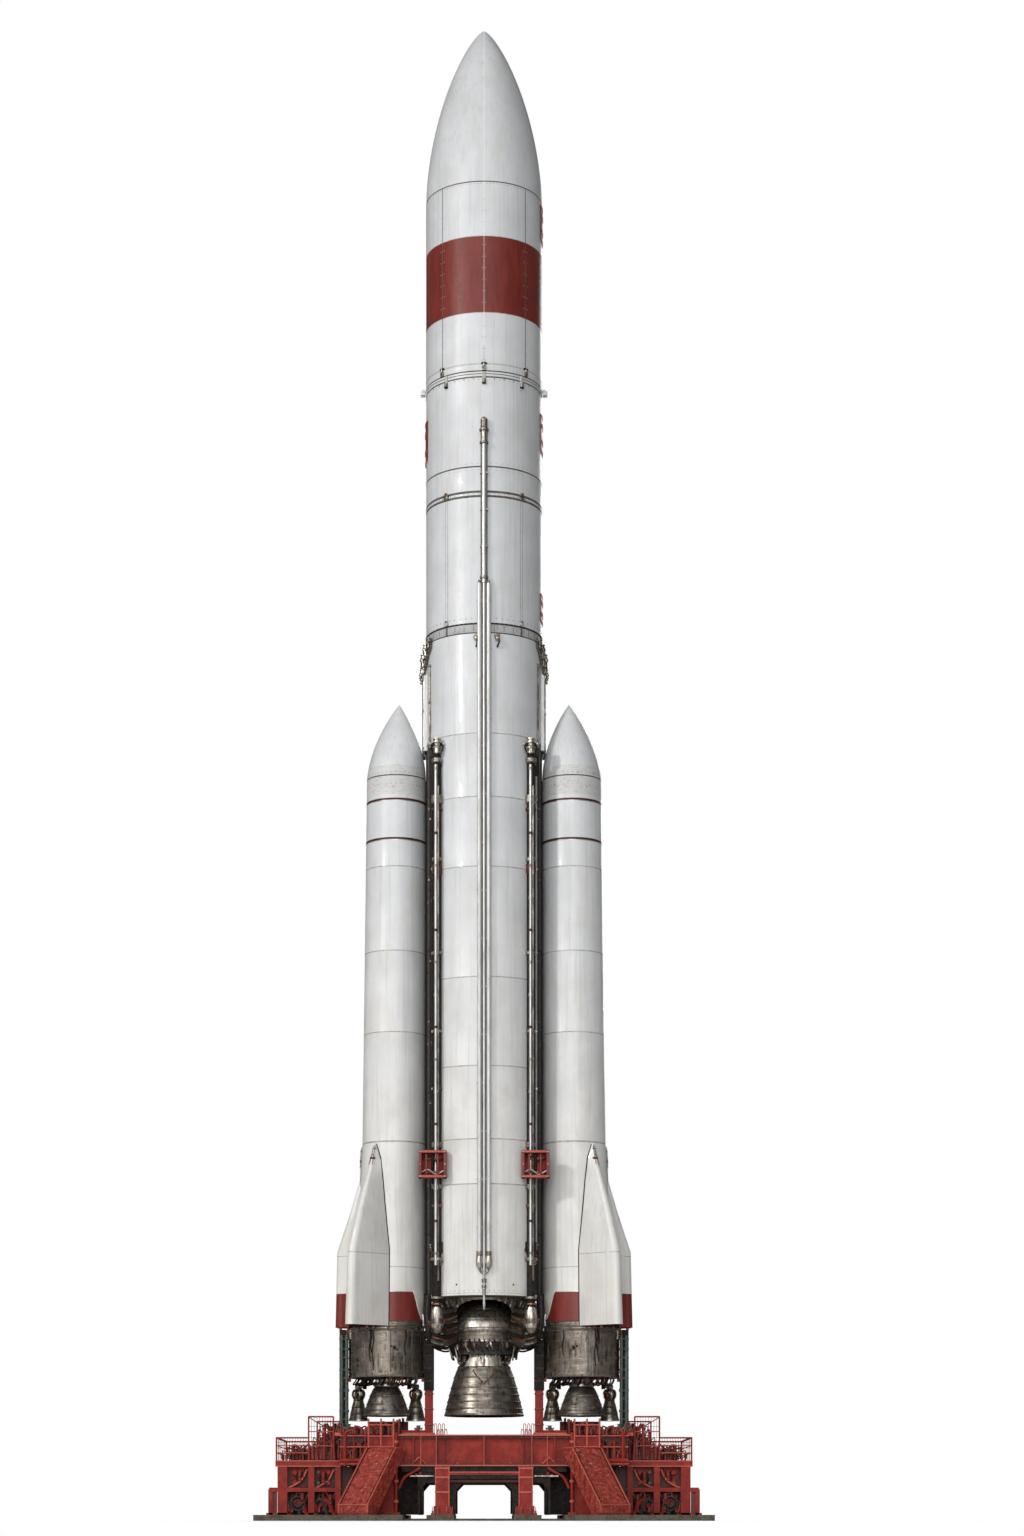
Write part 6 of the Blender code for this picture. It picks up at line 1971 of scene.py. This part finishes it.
    def deck_trim(self, side: Side) -> None:
        """Hold-down heads, service pipes, valves and edges on a deck, with thin black sheets of
        painted shade beneath it.

        Args:
            side: Which side.
        """
        work = Workpiece(f"deck_trim_{side.label}", Slot.RED)
        with work.at(Matrix.Translation((side.value * 1.9, 0, 0))):
            for step in range(24):
                spot = around(15 * step, 0.66, 1.65)
                work.rod(spot, spot + Vector((0, 0, 0.02)), 0.016, SEAM, 6)
            work.turned([(0.625, 1.7), (0.645, 1.7), (0.645, 1.64), (0.625, 1.64)], RED_HIGHLIGHT, 64)
        work.flip.x = side.value
        slabs = functools.partial(work.blocks, bevel=0.003)
        for _ in work.mirrored(1):
            slabs(RED_HIGHLIGHT, (0.93, 2.82, 1.745, 1.775, 1.6, 1.665))
            # Thin black sheets that close the space behind the struts: painted shade.
            slabs(SOOT_AND_SHADE, (1.205, 2.505, 1.361, 1.372, 0.12, 1.595))
            slabs(RED, *((x - 0.02, x + 0.02, 1.35, 1.62, 1.65, 1.74) for x in (1.28, 1.9, 2.52)))
            for x in (0.745, 0.82, 0.895):
                work.hose([(x, 1.84, 1.625), (x, 1.84, 1.79), (x + 0.022, 1.84, 1.835),
                    (x + 0.044, 1.84, 1.79), (x + 0.044, 1.84, 1.625)], 0.007, RED_HIGHLIGHT, 6, 3)
        slabs(RED_HIGHLIGHT, *((2.635, 2.81, -0.21, -0.03, z, z + 0.035) for z in (1.95, 2.35, 2.75,
            3.15, 3.5)))
        slabs(RED, (2.63, 2.815, -0.26, 0.02, 1.65, 1.69))
        slabs(BAND_RED, *((0.98, 1.16, -0.21, -0.03, z, z + 0.03) for z in (1.85, 2.15, 2.45)),
            (1.5, 2.3, 0.95, 1.0, 1.651, 1.96))
        # Black plates on two columns; the last, thin sheet at the deck's inner edge is painted
        # shade.
        slabs(SOOT_AND_SHADE, (0.972, 1.168, -0.215, -0.025, 2.53, 3.51), (2.68, 2.806, -0.206, -0.034, 1.7,
            3.706), (1.2, 1.2095, -1.36, 1.36, 0.12, 1.595))
        slabs(RUBBER_AND_SHADE, *((0.97, 1.17, -0.218, -0.022, z, z + 0.02) for z in (2.7, 2.95, 3.2, 3.4)))
        for number in range(24):
            work.post(1.52 + 0.76 * (number * SCATTER_X % 1), 0.93, 1.66,
                1.8 + 0.24 * (number * SCATTER_Z % 1), 0.014, (SOOT_AND_SHADE, RED, BROWN_AND_SHADE,
                RED_HIGHLIGHT)[number % 4], 6)
        for x, y in ((2.76, -0.26), (2.66, -0.28)):
            work.post(x, y, 1.65, 3.6, 0.034, GREEN, 12)
            for z in (1.72, 2.1, 2.5, 2.9, 3.3, 3.5):
                work.post(x, y, z, z + 0.05, 0.048, GREEN, 12)
        for x, y, size in ((2.74, -0.34, 0.11), (2.6, -0.9, 0.1), (2.84, -1.3, 0.1),
                (2.2, 1.1, 0.1), (1.25, -1.3, 0.08), (1.1, 1.2, 0.09), (2.5, 0.9, 0.1)):
            work.valve(Matrix.Translation((side.value * x, y, 1.65 + size)), size, GREEN, ALLOY)
        for y, z, finish in ((-1.55, 1.69, RED), (-1.45, 1.68, SOOT_AND_SHADE), (1.5, 1.69, RED),
                (1.4, 1.68, SOOT_AND_SHADE)):
            work.rod((0.97, y, z), (2.78, y, z), 0.028, finish, 8)
        work.deliver()

    def platform_trim(self, side: Side) -> None:
        """Mesh, mid rails, braces, pipes and valves of a side platform.

        Args:
            side: Which side.
        """
        work = Workpiece(f"platform_trim_{side.label}", Slot.RED)
        s, foot, rail_y = side.value, self.pad_top + 0.02, 1.485
        work.flip.x = s
        for e in work.mirrored(1):
            for near, far, top in ((3.33, 3.94, 1.575), (2.86, 3.33, 1.975)):
                low, count = 1.147, int((far - near) / 0.05)
                for rise, lift, size, finish, sides in ((0.33, 0, 0.01, RED_HIGHLIGHT, 6),
                        (0.66, 0, 0.01, RED_HIGHLIGHT, 6), (0.25, 0.02, 0.0035, BAND_RED, 4),
                        (0.5, 0.02, 0.0035, BAND_RED, 4), (0.75, 0.02, 0.0035, BAND_RED, 4)):
                    z = low + (top - low) * rise + lift
                    work.rod((near, rail_y, z), (far, rail_y, z), size, finish, sides)
                for step in range(1, count):
                    work.post(near + (far - near) * step / count, rail_y, low, top, 0.0035,
                        BAND_RED, 4)
            work.rod((3.32, rail_y, 1.96), (2.96, rail_y, 1.74), 0.009, BAND_RED, 6)
            clutter(work, (2.78, 3.3), 1.38, (1.15, 1.58), 26)
            clutter(work, (2.8, 3.26), 1.42, (1.15, 1.84), 14)
            clutter(work, (3.4, 3.84), 1.36, (1.15, 1.44), 14)
            for x0, x1 in ((2.83, 3.22), (3.34, 3.735)):
                work.block((x0, 1.27, 0.64), (x1, 1.3, 1.03), BROWN_AND_SHADE)
                work.block((x0, 1.27, 0.13), (x1, 1.3, 0.6), SOOT_AND_SHADE)
                work.prism([(x0 + 0.06, 1.03), (x1 - 0.02, 1.03), (x1 - 0.06, 0.8),
                    (x0 + 0.16, 0.68)], 1.285, 1.285 - 0.035 * e, RED)
                work.hose([(x0 + 0.02, 1.42, 0.98), (x0 + 0.12, 1.43, 0.78), (x1 - 0.1, 1.43, 0.66),
                    (x1, 1.42, 0.63)], 0.02, RED_HIGHLIGHT, 8)
                clutter(work, (x0 + 0.02, x1 - 0.02), 1.36, (0.16, 0.56), 12)
            work.blocks(RED_HIGHLIGHT, *((2.72, 3.96, 1.5, 1.512, z - 0.01, z + 0.01) for z in (1.035,
                1.135)))
            work.block((2.5, 1.27, 0.13), (2.72, 1.3, 1.03), BROWN_AND_SHADE)
            work.block((3.93, 1.42, 0.13), (4.1, 1.44, 0.6), BAND_RED)
            work.blocks(RED, *((x - 0.09, x + 0.09, 1.34, 1.5, self.pad_top, 0.15) for x in (2.77,
                3.28, 3.83, 4.045)))
            for ring, (size, finish) in enumerate(((0.135, RUBBER_AND_SHADE), (0.1, SOOT_AND_SHADE), (0.062, BROWN_AND_SHADE))):
                work.pipe([(3.54 + s * size * math.cos(turn * 0.4), 1.44 + 0.01 * ring,
                    0.33 + size * math.sin(turn * 0.4)) for turn in range(17)], 0.018, finish, 6)
            for x, z, finish in ((2.98, 0.28, RED), (3.1, 0.3, RUBBER_AND_SHADE), (3.5, 0.25, RED),
                    (3.62, 0.27, RUBBER_AND_SHADE)):
                work.hose([(x - 0.12, 1.4, foot), (x, 1.42, z + 0.1), (x + 0.14, 1.38, z),
                    (x + 0.2, 1.36, foot)], 0.04, finish, 8, 5)
            for x, z, size in ((3.05, 0.82, 0.1), (3.5, 0.85, 0.09), (3.0, 1.26, 0.09),
                    (3.55, 1.24, 0.08), (2.92, 0.4, 0.09), (3.45, 0.42, 0.1)):
                work.valve(Matrix.Translation((s * x, e * 1.36, z)) @ facing(e), size,
                    BAND_RED if z < 1 else BROWN_AND_SHADE, SOOT_AND_SHADE)
        for x, z, size, reach, finish, sides in (*((x, z, size, 1.42, finish, 10) for z in (0.72,
                0.92) for x, size, finish in ((2.96, 0.04, RED), (3.15, 0.03, GREEN),
                (3.6, 0.045, RED))), (3.95, 1.29, 0.01, 1.47, RED_HIGHLIGHT, 6),
                (3.95, 1.43, 0.01, 1.47, RED_HIGHLIGHT, 6)):
            work.rod((x, -reach, z), (x, reach, z), size, finish, sides)
        for step in range(6):
            work.post(3.95, -1.35 + 0.54 * step, 1.147, 1.57, 0.006, RED_HIGHLIGHT, 6)
        work.deliver()


def clutter(work: Workpiece, x: Pair, y: float, z: Pair, count: int) -> None:
    """Adds a thicket of small dark pipes, as fills the table's bays.

    Args:
        work: Piece that takes it.
        x: Where it starts and ends.
        y: Depth of its middle.
        z: Its foot and top.
        count: Number of pipes.
    """
    wide, tall = x[1] - x[0], z[1] - z[0]
    for number in range(count):
        along, top = x[0] + wide * (number * SCATTER_X % 1), z[0] + tall * (number * SCATTER_Z % 1)
        depth = y + 0.05 * (number % 3 - 1)
        over = min(along + 0.12 * (1 - 2 * (number % 2)), x[1])
        work.hose([(along, depth, z[0]), (along, depth - 0.02, (z[0] + top) / 2 + tall * 0.2),
            (over, depth, min(top + tall * 0.3, z[1])), (over, depth, z[0] + 0.02)],
            0.009 + 0.006 * (number % 3), (BROWN_AND_SHADE, SOOT_AND_SHADE, BAND_RED, BROWN_AND_SHADE, RED,
            BAND_RED)[number % 6])


# Studio

@dataclass
class Studio:
    """Floor, light and the camera at the photograph's place."""

    camera_y: float = -59.4
    camera_z: float = 0.06
    lens: float = 71.5
    sensor: float = 36.0
    shift: Pair = (0.0182, 0.488)

    def build(self) -> None:
        """Builds the floor, the lights and the camera."""
        self.floor()
        self.world()
        self.light("key", (-42, -38, 36), 5, 13000, "FFFCF8")
        self.light("front", (-2, -52, 14), 26, 4300, "FFFFFF")
        self.light("back", (10, 50, 30), 30, 12000, "FFFFFF")
        self.camera()
        bpy.context.scene.view_settings.view_transform = "Standard"

    def floor(self) -> None:
        """A plain pale floor."""
        grid = bmesh.new()
        bmesh.ops.create_grid(grid, x_segments=1, y_segments=1, size=40)
        mesh = bpy.data.meshes.new("studio_floor")
        grid.to_mesh(mesh)
        grid.free()
        floor = bpy.data.objects.new("studio_floor", mesh)
        floor.location.z = -0.002
        made = bpy.data.materials.new("pale_floor")
        made.use_nodes = True
        shader = made.node_tree.nodes["Principled BSDF"]
        shader.inputs["Base Color"].default_value = linear("EDEDED")
        shader.inputs["Roughness"].default_value = 0.9
        shader.inputs["Emission Color"].default_value = linear("B0B1B2")
        seen = add_node(made.node_tree, "LightPath").outputs["Is Camera Ray"]
        made.node_tree.links.new(seen, shader.inputs["Emission Strength"])
        mesh.materials.append(made)
        bpy.context.scene.collection.objects.link(floor)
        floor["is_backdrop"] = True

    def world(self) -> None:
        """A white surround whose light comes mostly from the front left, above."""
        world = bpy.data.worlds.new("studio")
        world.use_nodes = True
        tree = world.node_tree
        back = tree.nodes["Background"]
        way = add_node(tree, "TexCoord").outputs["Generated"]
        near = add_node(tree, "VectorMath", {0: way, 1: (-0.14, -0.89, 0.42)},
            operation="DOT_PRODUCT")
        lobe = add_node(tree, "Math", {0: near.outputs["Value"], 1: 0.0}, operation="MAXIMUM")
        lobe = add_node(tree, "Math", {0: lobe.outputs[0], 1: 6.0}, operation="POWER")
        front = add_node(tree, "Math", {0: lobe.outputs[0], 1: 1.79, 2: 0.105},
            operation="MULTIPLY_ADD")
        seen = add_node(tree, "LightPath").outputs["Is Camera Ray"]
        level = add_node(tree, "Mix", {0: seen, 2: front.outputs[0], 3: 1.0}, data_type="FLOAT")
        back.inputs["Color"].default_value = linear("FFFFFF")
        tree.links.new(level.outputs[0], back.inputs["Strength"])
        bpy.context.scene.world = world

    def light(self, name: str, spot: Triple, size: float, power: float, colour: str) -> None:
        """Adds a large soft light that faces the rocket's middle.

        Args:
            name: Its name.
            spot: Where it stands.
            size: Its width.
            power: Its power in watts.
            colour: Its hex colour.
        """
        lamp = bpy.data.lights.new(name, "AREA")
        lamp.size, lamp.energy = size, power
        lamp.color = linear(colour)[:3]
        made = bpy.data.objects.new(name, lamp)
        made.location = spot
        aim = Vector((0, 0, 13)) - Vector(spot)
        made.rotation_euler = aim.to_track_quat("-Z", "Y").to_euler()
        bpy.context.scene.collection.objects.link(made)

    def camera(self) -> None:
        """A level camera at floor height, shifted up as the photograph's framing needs."""
        lens = bpy.data.cameras.new("camera")
        lens.sensor_fit = "VERTICAL"
        lens.sensor_height = self.sensor
        lens.lens = self.lens
        lens.shift_x, lens.shift_y = self.shift
        lens.clip_end = 500.0
        made = bpy.data.objects.new("camera", lens)
        made.location = (0.0, self.camera_y, self.camera_z)
        made.rotation_euler = (math.pi / 2, 0.0, 0.0)
        bpy.context.scene.collection.objects.link(made)
        bpy.context.scene.camera = made


def write_sizes() -> None:
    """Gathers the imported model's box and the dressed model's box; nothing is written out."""
    boxes = [[list(corner) for corner in box] for box in (CAD_BOX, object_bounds())]


def main() -> None:
    """Builds every sub-assembly in order, then the studio round it."""
    logging.basicConfig(level=logging.INFO, format="%(name)s: %(message)s")
    assemblies: list[Any] = [Fairing(), UpperStage(), CoreStage(), Raceway()]
    assemblies += [FeedLine(side, end) for side in Side for end in End]
    assemblies.append(CoreEngine())
    assemblies += [Booster(side) for side in Side]
    assemblies += [LaunchTable(), Studio()]
    for assembly in assemblies:
        assembly.build()
        LOG.info("%s done", type(assembly).__name__)
    write_sizes()


if __name__ == "__main__":
    main()
